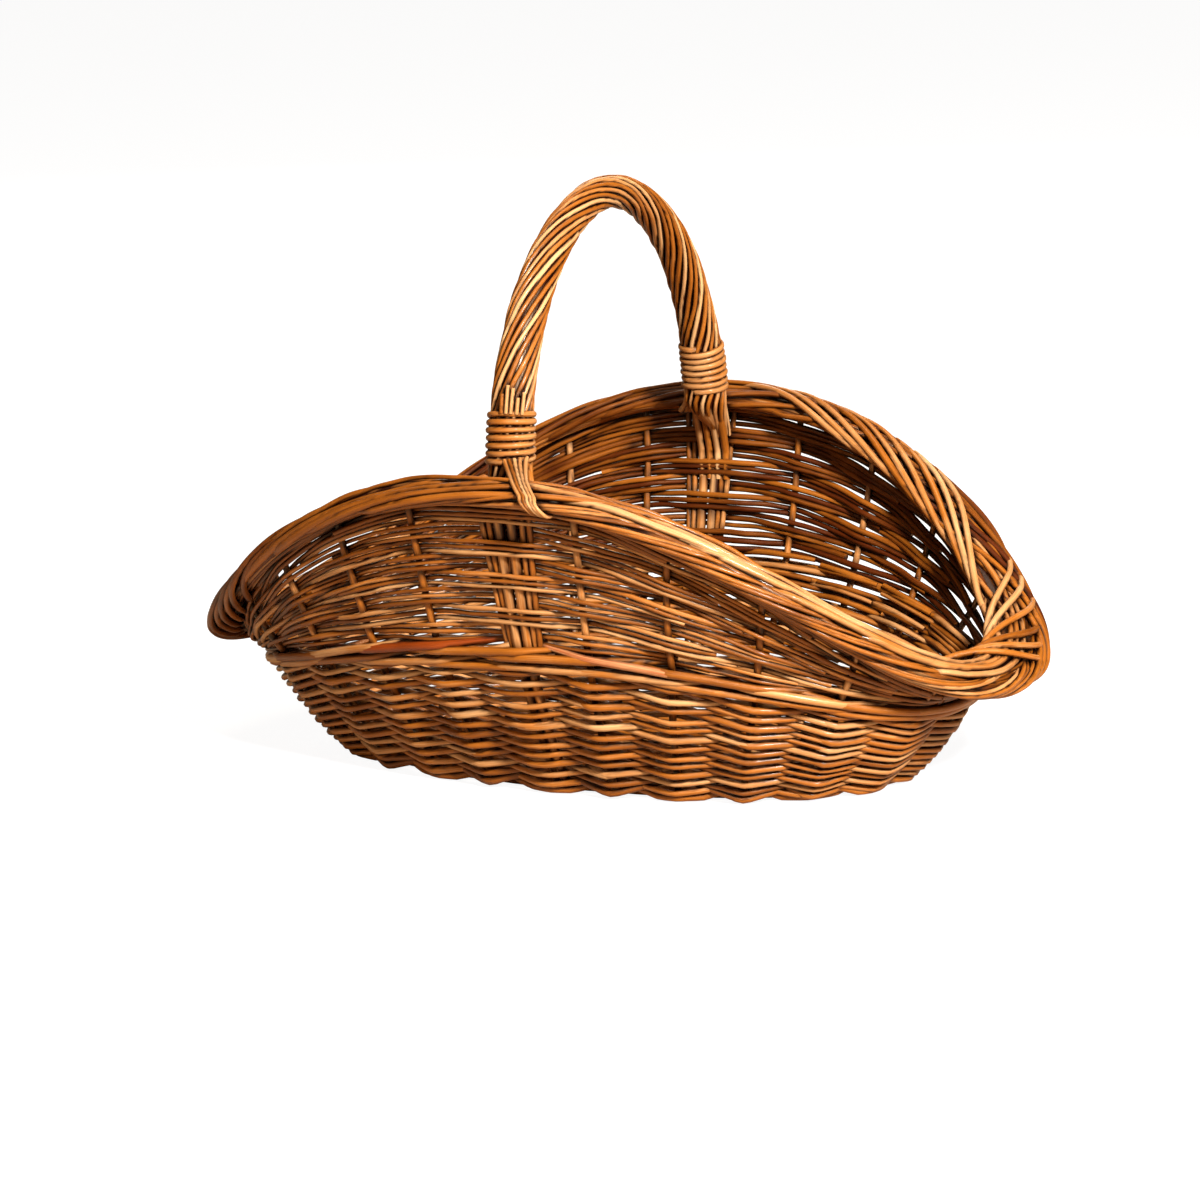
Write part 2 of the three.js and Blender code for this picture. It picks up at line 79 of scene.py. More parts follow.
class BasketShape(bpy.types.PropertyGroup):
    """The outer shape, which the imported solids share."""

    length: size("Length", BORDER_BOX[1][0] - BORDER_BOX[0][0], "From low end to low end")
    width: size("Width", BORDER_BOX[1][1] - BORDER_BOX[0][1], "Across the two high sides")
    side_height: size("Side height", BORDER_BOX[1][2], "Top of the border beside the handle")
    end_height: size("End height", 0.060, "Middle of the border at the low ends")
    handle_top: size("Handle top", ROPING_BOX[1][2], "Highest point of the handle")
    foot_length: size("Foot length", 0.302, "Middle of the wall at the ground, along the basket")
    foot_width: size("Foot width", 0.150, "Middle of the wall at the ground, across the basket")
    base_length: size("Base length", BASE_BOX[1][0] - BASE_BOX[0][0], "Woven base inside the wall")
    base_width: size("Base width", BASE_BOX[1][1] - BASE_BOX[0][1], "Woven base inside the wall")
    base_thickness: size("Base thickness", BASE_BOX[1][2], "Top of the woven base")
    waist_length: size("Waist length", 0.380, "Along the basket at the waist band")
    waist_width: size("Waist width", 0.230, "Across the basket at the waist band")
    waist_side: size("Waist side height", 0.079, "Waist band under the handle")
    waist_end: size("Waist end height", 0.048, "Waist band at the low ends")
    lower_bulge: size("Lower bulge", 0.003, "How far the lower wall swells out")
    upper_bulge: size("Upper bulge", 0.0015, "How far the upper wall swells out")
    roundness: share("Roundness", 2.2, "Exponent of the oval; 2 is a true ellipse")
    saddle: share("Saddle", 2.3, "How late the rim climbs from its low ends")
    border_width: size("Border half width", 0.016, "Half the border's width")
    border_end_depth: size("Border end half height", 0.009, "Half the border's height at the ends")
    border_side_depth: size("Border side half height", 0.007, "Half the border's height at the sides")
    border_tilt: FloatProperty(
        name="Border tilt", description="Outer edge down at the low ends", subtype="ANGLE",
        default=math.radians(22),
    )
    handle_inset: size("Handle inset", 0.025, "From the border's middle to the legs' middle lines")
    foot_drop: size("Handle foot drop", 0.002, "How far the roping reaches below the border's top")
    arch_roundness: share("Arch roundness", 1.94, "Exponent of the handle's arch")
    handle_thickness: size("Handle thickness", 0.0174, "Roped handle across its middle")
    handle_foot: size("Handle foot thickness", 0.0224, "Roped handle at its feet")
    handle_flare: size("Handle flare", 0.150, "Length over which the legs widen")


class BasketRods(bpy.types.PropertyGroup):
    """Counts and thicknesses of the willow rods."""

    stakes: count("Stakes", 24, "Upright places round the basket")
    stake: size("Stake thickness", 0.0042, "Upright rods")
    lower_rows: count("Lower rows", 23, "Rows between foot and waist")
    lower_rod: size("Lower rod thickness", 0.0038, "Weavers of the lower wall")
    upper_bands: count("Upper bands", 10, "Bands between waist and border")
    band_rods: count("Rods in a band", 3, "Rods that run together")
    upper_rod: size("Upper rod thickness", 0.0027, "Weavers of the upper wall")
    wale_rod: size("Wale thickness", 0.0046, "Thick rods of the waist band and the foot")
    wale_share: share("Wale share", 0.07, "Half the waist band's height, a share of the wall's")
    foot_share: share("Foot share", 0.15, "Top of the foot band, a share of the lower wall's")
    border_rod: size("Border rod thickness", 0.0038, "Thick rods of the border")
    border_thin: size("Thin border rod", 0.0032, "Rods that lie along the border")
    border_lanes: count("Border lanes", 21, "Thin rods side by side")
    border_strands: count("Border strands", 32, "Thick rods all round")
    border_group: count("Rods in a border group", 3, "Rods beside each other")
    rope_rods: count("Roping rods", 16, "Rods laid round the bow")
    rope_rod: size("Roping rod thickness", 0.0025, "Rods laid round the bow")
    rope_turns: share("Roping turns", 2.2, "Turns from foot to foot")
    binding_rod: size("Binding thickness", 0.0034, "Rod wound round each foot of the handle")
    binding_pitch: size("Binding pitch", 0.0036, "From one turn to the next")
    binding_turns: count("Binding turns", 7, "Turns round each foot")
    seed: count("Seed", 7, "Chooses the small chances of the weave")


class BasketColours(bpy.types.PropertyGroup):
    """Colours of the willow."""

    dark: colour("Dark bark", (0.070, 0.010, 0.0006), "Darkest brown of the rods")
    brown: colour("Brown", (0.355, 0.100, 0.0080), "Usual brown of the rods")
    golden: colour("Golden", (0.70, 0.42, 0.19), "Lightest tan of the rods")
    red: colour("Reddish", (0.30, 0.045, 0.004), "Reddish rods of the waist")
    # Painted shade: this colour is multiplied into each rod where the occlusion attribute says it lies
    # hidden among other rods
    painted_shade: colour("Crevice", (0.040, 0.006, 0.0012), "Darkens the deepest places between rods")


def unit(vectors):
    return vectors / np.linalg.norm(vectors, axis=-1, keepdims=True)


def smooth(value):
    """0 to 1 with a soft start and a soft end."""
    value = np.clip(value, 0, 1)
    return value * value * (3 - 2 * value)


def blend(one, other, part):
    return one * (1 - part) + other * part


def run_along(points):
    """The way covered at each point of a line."""
    return np.concatenate([[0], np.cumsum(np.linalg.norm(np.diff(points, axis=0), axis=1))])


def wander(rng, places, reach, pace=1.0):
    """A smooth chance wave along a rod: four sines, each faster and flatter than the one before."""
    total = 0 * places
    for step in range(1, 5):
        phase = rng.uniform(0, 2 * np.pi)
        total = total + np.sin(places * pace * step * 1.7 + phase) / step
    return reach * total / 1.6


def tucked(places, reach=0.35):
    """1 at both ends of a rod and 0 along it, for ends that slip in between their neighbours."""
    return smooth(1 - (places - places[0]) / reach) + smooth(1 - (places[-1] - places) / reach)


class Wall:
    """The wall as one surface: share 0 to 1 runs round from the +X end, level 0 foot, 1 waist, 2 rim."""

    PLACES = 2881  # at which the way round is measured
    HIGHEST = 2.3  # level past which the wall goes no higher

    def __init__(self, shape):
        self.shape = shape
        self.rim_length = shape.length / 2 - math.hypot(
            shape.border_width * math.cos(shape.border_tilt),
            shape.border_end_depth * math.sin(shape.border_tilt),
        )
        self.rim_width = shape.width / 2 - shape.border_width
        self.rim_side = shape.side_height - shape.border_side_depth
        self.angles = np.linspace(0, 2 * np.pi, self.PLACES)
        run = run_along(self.waist(self.angles))
        self.round = run[-1]
        self.shares = run / run[-1]

    def angle(self, share):
        return np.interp(np.mod(share, 1), self.shares, self.angles)

    def oval(self, half_length, half_width, angle, height):
        power = 2 / self.shape.roundness
        cos, sin = np.cos(angle), np.sin(angle)
        x = half_length * np.sign(cos) * np.abs(cos) ** power
        y = half_width * np.sign(sin) * np.abs(sin) ** power
        return np.stack([x, y, height + 0 * x], axis=-1)

    def sideness(self, angle):
        """0 at the low ends and 1 under the handle."""
        return np.abs(np.sin(angle)) ** self.shape.saddle

    def foot(self, angle):
        return self.oval(self.shape.foot_length / 2, self.shape.foot_width / 2, angle, 0)

    def waist(self, angle):
        height = blend(self.shape.waist_end, self.shape.waist_side, self.sideness(angle))
        return self.oval(self.shape.waist_length / 2, self.shape.waist_width / 2, angle, height)

    def rim(self, angle):
        height = blend(self.shape.end_height, self.rim_side, self.sideness(angle))
        return self.oval(self.rim_length, self.rim_width, angle, height)

    def plain(self, share, level):
        """A point of the wall before it swells."""
        angle = self.angle(share)
        level = np.clip(level, 0, self.HIGHEST)[..., None]
        lower = blend(self.foot(angle), self.waist(angle), level)
        upper = blend(self.waist(angle), self.rim(angle), level - 1)
        return np.where(level <= 1, lower, upper)

    def normal(self, share, level):
        aside, above = 0.003, 0.1
        round_it = self.plain(share + aside, level) - self.plain(share - aside, level)
        rise = self.plain(share, level + above) - self.plain(share, np.maximum(level - above, 0))
        return unit(np.cross(round_it, unit(rise)))

    def point(self, share, level, offset=0.0):
        """A point of the swollen wall; offset is how far outside it lies."""
        share = np.asarray(share, float)
        level = level + 0 * share
        part = np.where(level <= 1, level, level - 1)
        swell = np.where(level <= 1, self.shape.lower_bulge, self.shape.upper_bulge) * 4 * part * (1 - part)
        away = (np.maximum(swell, 0) + offset)[..., None]
        return self.plain(share, level) + self.normal(share, level) * away

    def border_frame(self, share):
        """Middle, across and upward directions and half sizes of the border."""
        share = np.asarray(share, float)
        angle = self.angle(share)
        side = self.sideness(angle)
        near = 0.002
        round_it = self.rim(self.angle(share + near)) - self.rim(self.angle(share - near))
        outward = unit(np.stack([round_it[..., 1], -round_it[..., 0], 0 * side], axis=-1))
        tilt = (self.shape.border_tilt * (1 - side))[..., None]
        up = np.array([0, 0, 1.0])
        across = outward * np.cos(tilt) - up * np.sin(tilt)
        upward = outward * np.sin(tilt) + up * np.cos(tilt)
        half_depth = blend(self.shape.border_end_depth, self.shape.border_side_depth, side)
        return self.rim(angle), across, upward, self.shape.border_width, half_depth

    def border_point(self, share, around, lift=0.0):
        """A point of the border's skin; around is 0 outside, a quarter turn at the top."""
        middle, across, upward, half_width, half_depth = self.border_frame(share)
        out = ((half_width + lift) * np.cos(around))[..., None]
        high = ((half_depth + lift) * np.sin(around))[..., None]
        return middle + across * out + upward * high

    def top_level(self, share):
        """The level at which the wall meets the border from below."""
        middle, across, upward, half_width, half_depth = self.border_frame(share)
        rise = middle - self.waist(self.angle(share))
        tall = np.linalg.norm(rise, axis=-1)
        rise = rise / tall[..., None]
        reach = np.hypot(np.sum(rise * across, -1) * half_width, np.sum(rise * upward, -1) * half_depth)
        return 2 - reach / tall


class Arch:
    """The handle's middle line from its front foot over the top to its back foot."""

    PLACES = 1441  # at which its length is measured
    BEND, BEND_LENGTH = 0.017, 0.024  # how far out, and over what length, it bends past the feet
    SHRINK, SHRINK_LENGTH = 0.45, 0.022  # how much thinner it gets there

    def __init__(self, shape, wall):
        self.shape = shape
        self.half_span = wall.rim_width - shape.handle_inset
        self.foot = shape.side_height - shape.foot_drop
        self.top = shape.handle_top - shape.handle_thickness / 2
        self.turns = np.linspace(0, np.pi, self.PLACES)
        self.run = run_along(self.at_turn(self.turns))
        self.length = self.run[-1]

    def at_turn(self, turn):
        power = 2 / self.shape.arch_roundness
        cos, sin = np.cos(turn), np.sin(turn)
        y = -self.half_span * np.sign(cos) * np.abs(cos) ** power
        z = self.foot + (self.top - self.foot) * np.abs(sin) ** power
        return np.stack([0 * y, y, z], axis=-1)

    def frame(self, distance):
        """Middle point, across (along X) and other direction; past the feet it bends out into the wall."""
        inside = np.clip(distance, 0, self.length)
        past = distance - inside
        turn = np.interp(inside, self.run, self.turns)
        near = 0.01
        low, high = np.clip(turn - near, 0, np.pi), np.clip(turn + near, 0, np.pi)
        along = unit(self.at_turn(high) - self.at_turn(low))
        middle = self.at_turn(turn) + along * past[..., None]
        middle[..., 1] += self.BEND * np.sign(past) * smooth(np.abs(past) / self.BEND_LENGTH)
        across = np.zeros_like(along)
        across[..., 0] = 1
        return middle, across, np.cross(along, across)

    def radius(self, distance):
        near = np.minimum(distance, self.length - distance)
        part = np.clip(1 - near / self.shape.handle_flare, 0, 1)
        thick = blend(self.shape.handle_thickness, self.shape.handle_foot, part)
        return thick / 2 * (1 - self.SHRINK * smooth(-near / self.SHRINK_LENGTH))

    def point(self, distance, around, radius):
        distance = np.asarray(distance, float)
        middle, across, other = self.frame(distance)
        aside, away = (radius * np.cos(around))[..., None], (radius * np.sin(around))[..., None]
        return middle + across * aside + other * away


class Rod:
    """One willow rod: its middle line and its half thickness along it."""

    FULL = 0.75  # share of the half thickness that is surely inside the rod

    def __init__(self, points, radius):
        self.points = np.asarray(points, float)
        self.radius = np.broadcast_to(radius, len(self.points))

    def filling(self, step):
        """Points that fill the rod, close enough to mark every cell it passes through."""
        run = run_along(self.points)
        places = np.arange(0, run[-1], step)
        middle = np.stack([np.interp(places, run, self.points[:, axis]) for axis in range(3)], -1)
        radius = np.interp(places, run, self.radius)[:, None] * self.FULL
        aside = [side * axis * radius for axis in np.eye(3) for side in (-1, 1)]
        return np.concatenate([middle] + [middle + step_aside for step_aside in aside])


def tapered(points, thick, thin):
    """A rod that thins evenly from its first point to its last."""
    return Rod(points, np.linspace(thick, thin, len(points)) / 2)


WOVEN = []
RODS = []


def make_piece(name, rods, look, replaced, sides=2):
    """Sweep the rods as bevelled curves, turn them into one mesh and let it ride on the basket."""
    rods = list(rods)
    curve = bpy.data.curves.new(name, "CURVE")
    curve.dimensions = "3D"
    curve.bevel_depth = 1.0
    curve.bevel_resolution = sides
    curve.use_fill_caps = True
    for rod in rods:
        line = curve.splines.new("POLY")
        line.points.add(len(rod.points) - 1)
        places = np.ones((len(rod.points), 4))
        places[:, :3] = rod.points
        line.points.foreach_set("co", places.ravel())
        line.points.foreach_set("radius", np.array(rod.radius))
        line.use_smooth = True
    piece = bpy.data.objects.new(name, curve)
    bpy.context.scene.collection.objects.link(piece)
    bpy.ops.object.select_all(action="DESELECT")
    piece.select_set(True)
    bpy.context.view_layer.objects.active = piece
    bpy.ops.object.convert(target="MESH")
    bpy.ops.object.shade_smooth_by_angle(angle=math.radians(50))
    piece.data.materials.append(finish(look))
    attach(piece, "root")
    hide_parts(*replaced)
    WOVEN.append(name)
    RODS.extend(rods)


def plug(node, sockets):
    """Give each named socket of a node a plain value or another node's output."""
    for name, value in sockets.items():
        if isinstance(value, bpy.types.NodeSocket):
            node.id_data.links.new(value, node.inputs[name])
        else:
            node.inputs[name].default_value = value


def add_node(tree, kind, sockets, output=0, **settings):
    """Add a shader node with its settings and sockets; returns the chosen output."""
    node = tree.nodes.new("ShaderNode" + kind)
    for name, value in settings.items():
        setattr(node, name, value)
    plug(node, sockets)
    return node.outputs[output]


def noise(tree, vector, scale, detail, own=None):
    """A noise pattern; own shifts it for each rod."""
    sockets = {"Vector": vector, "Scale": scale, "Detail": detail}
    if own is None:
        return add_node(tree, "TexNoise", sockets, "Fac")
    return add_node(tree, "TexNoise", {**sockets, "W": own}, "Fac", noise_dimensions="4D")


def times_plus(tree, value, factor, added):
    return add_node(tree, "Math", {0: value, 1: factor, 2: added}, operation="MULTIPLY_ADD")


def willow(name, colours, light=0.0, reddish=False, gloss=0.33):
    """Smoked and varnished willow: streaks along each rod, its own tone, patches, painted shade between
    rods and a fine bump.
    """
    material = bpy.data.materials.new(name)
    material.use_nodes = True
    tree = material.node_tree
    along = add_node(tree, "UVMap", {}, "UV", uv_map="UVMap")
    chance = add_node(tree, "NewGeometry", {}, "Random Per Island")
    place = add_node(tree, "TexCoord", {}, "Object")
    drawn = add_node(tree, "Mapping", {"Scale": (2.2, 14.0, 1.0), "Vector": along}, "Vector")
    own = times_plus(tree, chance, 91.0, 0.0)
    streaks = noise(tree, drawn, 2.6, 5.0, own)
    patches = noise(tree, place, 38.0, 3.0)
    fine = noise(tree, drawn, 9.0, 6.0, own)

    # Streaks, the rod's own tone and patches add up to a place on the ramp from dark bark to golden
    tone = times_plus(tree, streaks, 0.55, light - 0.19)
    tone = times_plus(tree, chance, 0.42, tone)
    tone = times_plus(tree, patches, 0.35, tone)
    bark = add_node(tree, "ValToRGB", {"Fac": tone}, "Color")
    stops = bark.node.color_ramp.elements
    stops[0].position, stops[0].color = 0.12, (*colours.dark, 1)
    stops[1].position, stops[1].color = 0.92, (*colours.golden, 1)
    stops.new(0.48).color = (*(colours.red if reddish else colours.brown), 1)

    # Painted shade: the occlusion attribute, how hidden each point lies among the other rods, multiplies
    # the colour towards the shade colour
    deep = add_node(tree, "Attribute", {}, "Fac", attribute_name="painted_shade")
    shown = add_node(
        tree, "Mix", {"Factor": deep, "A": bark, "B": (*colours.painted_shade, 1)}, "Result",
        data_type="RGBA", blend_type="MULTIPLY")
    bump = add_node(tree, "Bump", {"Strength": 0.35, "Distance": 0.0006, "Height": fine}, "Normal")
    smoothest, roughest = gloss - 0.1, gloss + 0.18
    rough = add_node(tree, "MapRange", {"Value": fine, "To Min": smoothest, "To Max": roughest}, "Result")
    plug(tree.nodes["Principled BSDF"], {
        "Base Color": shown, "Normal": bump, "Roughness": rough, "Specular IOR Level": 0.5,
        "Specular Tint": (1.0, 0.66, 0.40, 1), "Coat Weight": 0.14, "Coat Roughness": 0.14,
    })


FINISHES = {
    "willow_brown": {}, "willow_red": {"reddish": True}, "willow_golden": {"light": 0.07, "gloss": 0.34},
    # willow_painted_light is a lighter copy of the willow: painted light for the border strands on the key
    # lamp's side
    "willow_painted_light": {"light": 0.14}, "willow_tan": {"light": 0.05}, "willow_stake": {"light": 0.05},
    # willow_painted_shade_under, willow_painted_shade_deep and willow_painted_shade_inside are darker
    # copies of the willow: painted shade for rods that lie under, inside or deep among others, and for the
    # far wall's inside
    "willow_painted_shade_under": {"light": -0.06}, "willow_painted_shade_deep": {"light": -0.16}, "willow_painted_shade_inside": {"light": -0.24},
    # willow_painted_shade_border is a darker copy of the willow: painted shade for the border strands away
    # from the key lamp
    "willow_painted_shade_border": {"light": -0.25},
}


def finish(name):
    """The willow material of that name, made once."""
    if name not in bpy.data.materials:
        willow(name, bpy.context.scene.basket_colours, **FINISHES[name])
    return bpy.data.materials[name]


def is_handle_place(stake, rods):
    return stake % (rods.stakes // 2) == rods.stakes // 4


def at_places(first, last, steps=10):
    """Places along a rod, counted in stakes, with every stake among them."""
    middle = np.arange(math.ceil(first * steps), math.floor(last * steps) + 1) / steps
    return np.unique(np.concatenate([[first], middle, [last]]))


def weave_wave(places, rods, period, shift, side=1, handle_half=0.13):
    """How far out a weaver lies, 1 outside and -1 inside.

    It is on side at one stake in each period, on the other side at the rest, and straight in between.
    """
    def at_stake(stake):
        return side if (stake + shift) % period == 0 else -side

    stake_half = 0.04
    before = np.floor(places + 1e-9).astype(int)
    part = places - before
    value = np.empty_like(places)
    for stake in np.unique(before):
        here = before == stake
        flat = [handle_half if is_handle_place(s, rods) else stake_half for s in (stake, stake + 1)]
        across = np.clip((part[here] - flat[0]) / (1 - flat[0] - flat[1]), 0, 1)
        value[here] = blend(at_stake(stake), at_stake(stake + 1), across)
    return value


def lower_rows(rods, wall, rng):
    """Single rods in front of one stake and behind the next, several rods to each row."""
    reach = (rods.stake + rods.lower_rod) / 2 * 1.12
    low, high = rods.foot_share - 0.06, 1 - rods.wale_share
    overlap, tuck = 0.35, 0.0028
    for row in range(rods.lower_rows):
        first = rng.integers(0, rods.stakes)
        end = first + rods.stakes
        while first < end:
            last = min(first + rng.integers(6, 11), end)
            places = at_places(first - overlap, last + overlap)
            wave = weave_wave(places, rods, 2, row)
            thick = rods.lower_rod * rng.uniform(0.86, 1.1)
            level = blend(low, high, (row + 0.5) / rods.lower_rows) + wander(rng, places, 0.0045)
            level = level + rng.uniform(-0.006, 0.006)
            offset = reach * wave * rng.uniform(0.94, 1.06) - tuck * tucked(places)
            offset = offset + wander(rng, places, 0.0003, 2.0)
            points = wall.point(places / rods.stakes, level, offset)
            yield tapered(points, thick, thick * rng.uniform(0.72, 0.9))
            first = last


def above_ground(points, radius, gap):
    """A rod whose underside stays that gap above the ground."""
    points[:, 2] = np.maximum(points[:, 2], radius + gap)
    return Rod(points, radius)


def wale(rods, wall, rng, low, high, thick, red=()):
    """Rods that pass in front of two stakes and behind one; returns the usual and the reddish ones."""
    plain, reddish = [], []
    reach = (rods.stake + thick) / 2 * 0.95
    overlap, falling_share, span, tuck = 0.45, 0.7, 3, 0.0016
    for index in range(span):
        for stake in range(-index, rods.stakes - index, span):
            places = at_places(stake - overlap, stake + span + overlap)
            wave = weave_wave(places, rods, span, index, -1)
            slant = (places - stake) / span
            slant = slant if rng.random() < falling_share else 1 - slant
            level = low + (high - low) * (0.14 + 0.72 * slant) + wander(rng, places, 0.004)
            level = level + rng.uniform(-0.02, 0.02)
            body = np.sin(np.pi * np.clip((places - places[0]) / (places[-1] - places[0]), 0, 1))
            points = wall.point(places / rods.stakes, level, reach * wave - tuck * tucked(places, 0.5))
            radius = thick / 2 * (0.56 + 0.46 * body) * rng.uniform(0.9, 1.06)
            chosen = reddish if stake % rods.stakes in red and index == 0 else plain
            chosen.append(above_ground(points, radius, 0.0002))
    return plain, reddish


def foot_rows(rods, wall, rng):
    """Two thick rows that dip at every second stake where the wall turns up."""
    reach = (rods.stake + rods.wale_rod) / 2 * 1.2
    overlap, dip, tuck, span = 0.4, 0.022, 0.002, 4
    for row, height in enumerate((0.055, 0.105)):
        for first in range(row, rods.stakes + row, span):
            places = at_places(first - overlap, first + span + overlap)
            wave = weave_wave(places, rods, 2, row, handle_half=0.04)
            thick = rods.wale_rod * rng.uniform(0.84, 0.98)
            level = height - dip * wave + wander(rng, places, 0.006)
            points = wall.point(places / rods.stakes, level, reach * wave - tuck * tucked(places))
            radius = np.linspace(thick, thick * 0.86, len(points)) / 2
            yield above_ground(points, radius, 0.0003)


def foot_ring(rods, wall, rng):
    """Rods that lie on the ground under the wall; their dark finish is painted shade."""
    for inset, lift in ((0.0035, 0.0016), (0.0064, 0.0018), (0.0052, 0.0042)):
        places = at_places(0, rods.stakes + 0.5, 6)
        points = wall.point(places / rods.stakes, 0.0, -inset + wander(rng, places, 0.0007))
        points[:, 2] = lift
        yield Rod(points, 0.0015)


def band_ends(room, grid, total, longest):
    """How far each rod of a side runs before and after its middle: fewer rods run on where room is low."""
    golden, shortest = 0.618, 0.5
    ends = []
    for side, shift in ((-1, 0.75), (1, 0.3)):
        order = np.mod(np.arange(total) * golden + shift, 1)
        order[[0, -3, -2, -1]] *= 0.1  # the lowest and the top three rods run furthest
        ranks = (np.argsort(np.argsort(order)) + 0.5) / total
        outer = grid * side >= 0
        away, left = np.abs(grid[outer]), room[outer]
        ends.append([min(max(away[left >= rank * 0.92], default=shortest), longest) for rank in ranks])
    return ends


def upper_bands(rods, wall, rng, middle_stake, thicker):
    """Bands of rods on one side of the basket, thicker by a factor; they die out towards the low ends."""
    bands = [[] for _ in range(rods.upper_bands)]
    total = rods.upper_bands * rods.band_rods
    quarter = rods.stakes / 4
    reach = (rods.stake + rods.upper_rod) / 2 * 0.78
    over_top, soft, lean, handle_half = 0.20, 1.5, 0.85, 0.36
    grid = np.linspace(-quarter - 1, quarter + 1, 401)
    shares = (middle_stake + grid) / rods.stakes
    bottom = 1 + rods.wale_share * 0.8
    tall = np.linalg.norm(wall.rim(wall.angle(shares)) - wall.waist(wall.angle(shares)), axis=-1)
    room = (wall.top_level(shares) - bottom + over_top) * tall
    room = np.maximum(room / room.max(), 0.05)
    before, after = band_ends(room, grid, total, quarter + 0.6)
    # Past a rod's end its weight fades, and the rods above close up over it
    ends = np.where(grid < 0, np.array(before)[:, None], np.array(after)[:, None])
    weights = smooth((ends - np.abs(grid)) / soft + 0.5)
    heights = (np.cumsum(weights, axis=0) - weights / 2) / np.maximum(weights.sum(axis=0), 0.3)
    for rod in range(total):
        band = rod // rods.band_rods
        first = -before[rod] - rng.uniform(0.05, 0.35)
        last = after[rod] + rng.uniform(0.05, 0.35)
        places = at_places(first + middle_stake, last + middle_stake)
        shares = places / rods.stakes
        wave = weave_wave(places, rods, 2, band, -1, handle_half)
        height = np.interp(places - middle_stake, grid, heights[rod]) + wander(rng, places, 0.0035, 2.2)
        level = blend(bottom, wall.top_level(shares) + over_top, np.clip(height, 0, 1) ** 0.88)
        offset = reach * wave * rng.uniform(0.85, 1.15) + wander(rng, places, 0.0005, 2.0)
        offset = offset + rng.uniform(-0.0006, 0.0006)
        thick = rods.upper_rod * rng.uniform(0.86, 1.14) * thicker
        points = wall.point(shares, level, offset)
        points[:, 2] -= wall.normal(shares, level)[:, 2] * offset * lean
        ends = (thick, thick * rng.uniform(0.78, 0.95))
        if rng.random() < 0.5:
            ends = ends[::-1]
        bands[band].append(tapered(points, *ends))
    return bands


def border_lanes(rods, wall, rng):
    """Thin rods nearly along the border, side by side all round it; some cross their neighbours."""
    overlap, tuck, inward_share = 0.4, 0.003, 0.75
    for lane in range(rods.border_lanes):
        first = rng.uniform(0, 4)
        end = first + rods.stakes
        while first < end:
            last = min(first + rng.uniform(4.5, 8.5), end)
            places = np.linspace(first - overlap, last + overlap, 60)
            part = (places - places[0]) / (places[-1] - places[0])
            lean = np.radians(rng.uniform(10, 46) * (-1 if rng.random() < inward_share else 1))
            around = 2 * np.pi * (lane + rng.uniform(-0.3, 0.3)) / rods.border_lanes + lean * (part - 0.5)
            around = around + wander(rng, places, 0.05)
            thick = rods.border_thin * rng.uniform(0.86, 1.2)
            lift = -thick / 2 - rng.uniform(0.0020, 0.0038) - tuck * tucked(places, 0.5)
            lift = lift + wander(rng, places, 0.0004)
            points = wall.border_point(places / rods.stakes, around, lift)
            yield tapered(points, thick, thick * 0.8)
            first = last


def eased(places, stops, values, soft=0.35):
    """Values between the stops, with their corners rounded off."""
    near = np.linspace(-soft, soft, 9)
    return np.mean([np.interp(places + step, stops, values) for step in near], axis=0)


def is_between(place, ranges, stakes):
    return any((place - low) % stakes < (high - low) for low, high in ranges)


def border_strand(rods, wall, rng, first, low, stops):
    """One thick rod: out from under the border, up its outer side, along its top and down inside."""
    outer, crest, inner = max(30, low + 14), 120, 206
    tuck = 0.0042
    run = np.linspace(0, stops[-1], 90)
    places = first + run
    around = np.radians(eased(run, (0, *stops), (low, outer, crest, inner)))
    around = around + wander(rng, places, 0.03, 0.8)
    thick = rods.border_rod * rng.uniform(0.88, 1.16)
    lift = -thick / 2 + rng.uniform(-0.0010, 0.0019) - tuck * tucked(places)
    lift = lift + wander(rng, places, 0.0009, 1.4)
    points = wall.border_point(places / rods.stakes, around, lift)
    return tapered(points, thick, thick * 0.72)


def border_strands(rods, wall, rng):
    """Thick rods all round: hooked under at the low ends; the ones on the front right, on the key lamp's
    side, are kept apart for a lighter finish, which is painted light.
    """
    brown, pale = [], []
    half = rods.stakes / 2
    # Angles round the border at which a rod comes out, and stakes to its outer side, crest and end
    hooked, slanting, upright, high = -118, -34, 42, 60
    short, usual, late = (1.1, 2.2, 3.2), (1.1, 4.1, 5.4), (2.0, 4.1, 5.4)
    for index in range(rods.border_strands):
        first = index * rods.stakes / rods.border_strands + rng.uniform(-0.09, 0.09)
        low, stops, chosen = upright, usual, brown
        if is_between(first, ((-1.3, 1.6), (half - 1.3, half + 1.6)), rods.stakes):
            low = hooked
            for aside in (0.25, 0.5):
                brown.append(border_strand(rods, wall, rng, first + aside, low, short))
        elif is_between(first, ((1.6, 5.5), (half + 1.6, half + 5.5)), rods.stakes):
            low, stops = slanting, late
        # Strands on the front right, the key lamp's side, go to the lighter list: painted light
        if is_between(first, ((half + 4.6, 2 * half - 1.4),), rods.stakes):
            low, stops, chosen = high, usual, pale
        chosen.append(border_strand(rods, wall, rng, first, low + rng.uniform(-8, 8), stops))
    return brown, pale


def border_feeders(rods, wall, rng, first_place, last_place):
    """Thin rods that climb out of the wall over the border's outer side and end under its top rods."""
    pitch, shortest, longest = 0.24, 1.9, 2.6  # in stakes
    under, climb, tuck = -96, 158, 0.003
    for first in np.arange(first_place, last_place, pitch):
        run = np.linspace(0, 1, 40)
        places = first + rng.uniform(-0.06, 0.06) + rng.uniform(shortest, longest) * run
        around = np.radians(under + climb * run) + wander(rng, places, 0.06)
        thick = rods.upper_rod * rng.uniform(0.85, 1.05)
        lift = -thick / 2 - rng.uniform(0.0000, 0.0014) - tuck * smooth((run - 0.85) / 0.15)
        points = wall.border_point(places / rods.stakes, around, lift)
        yield tapered(points, thick, thick * 0.85)


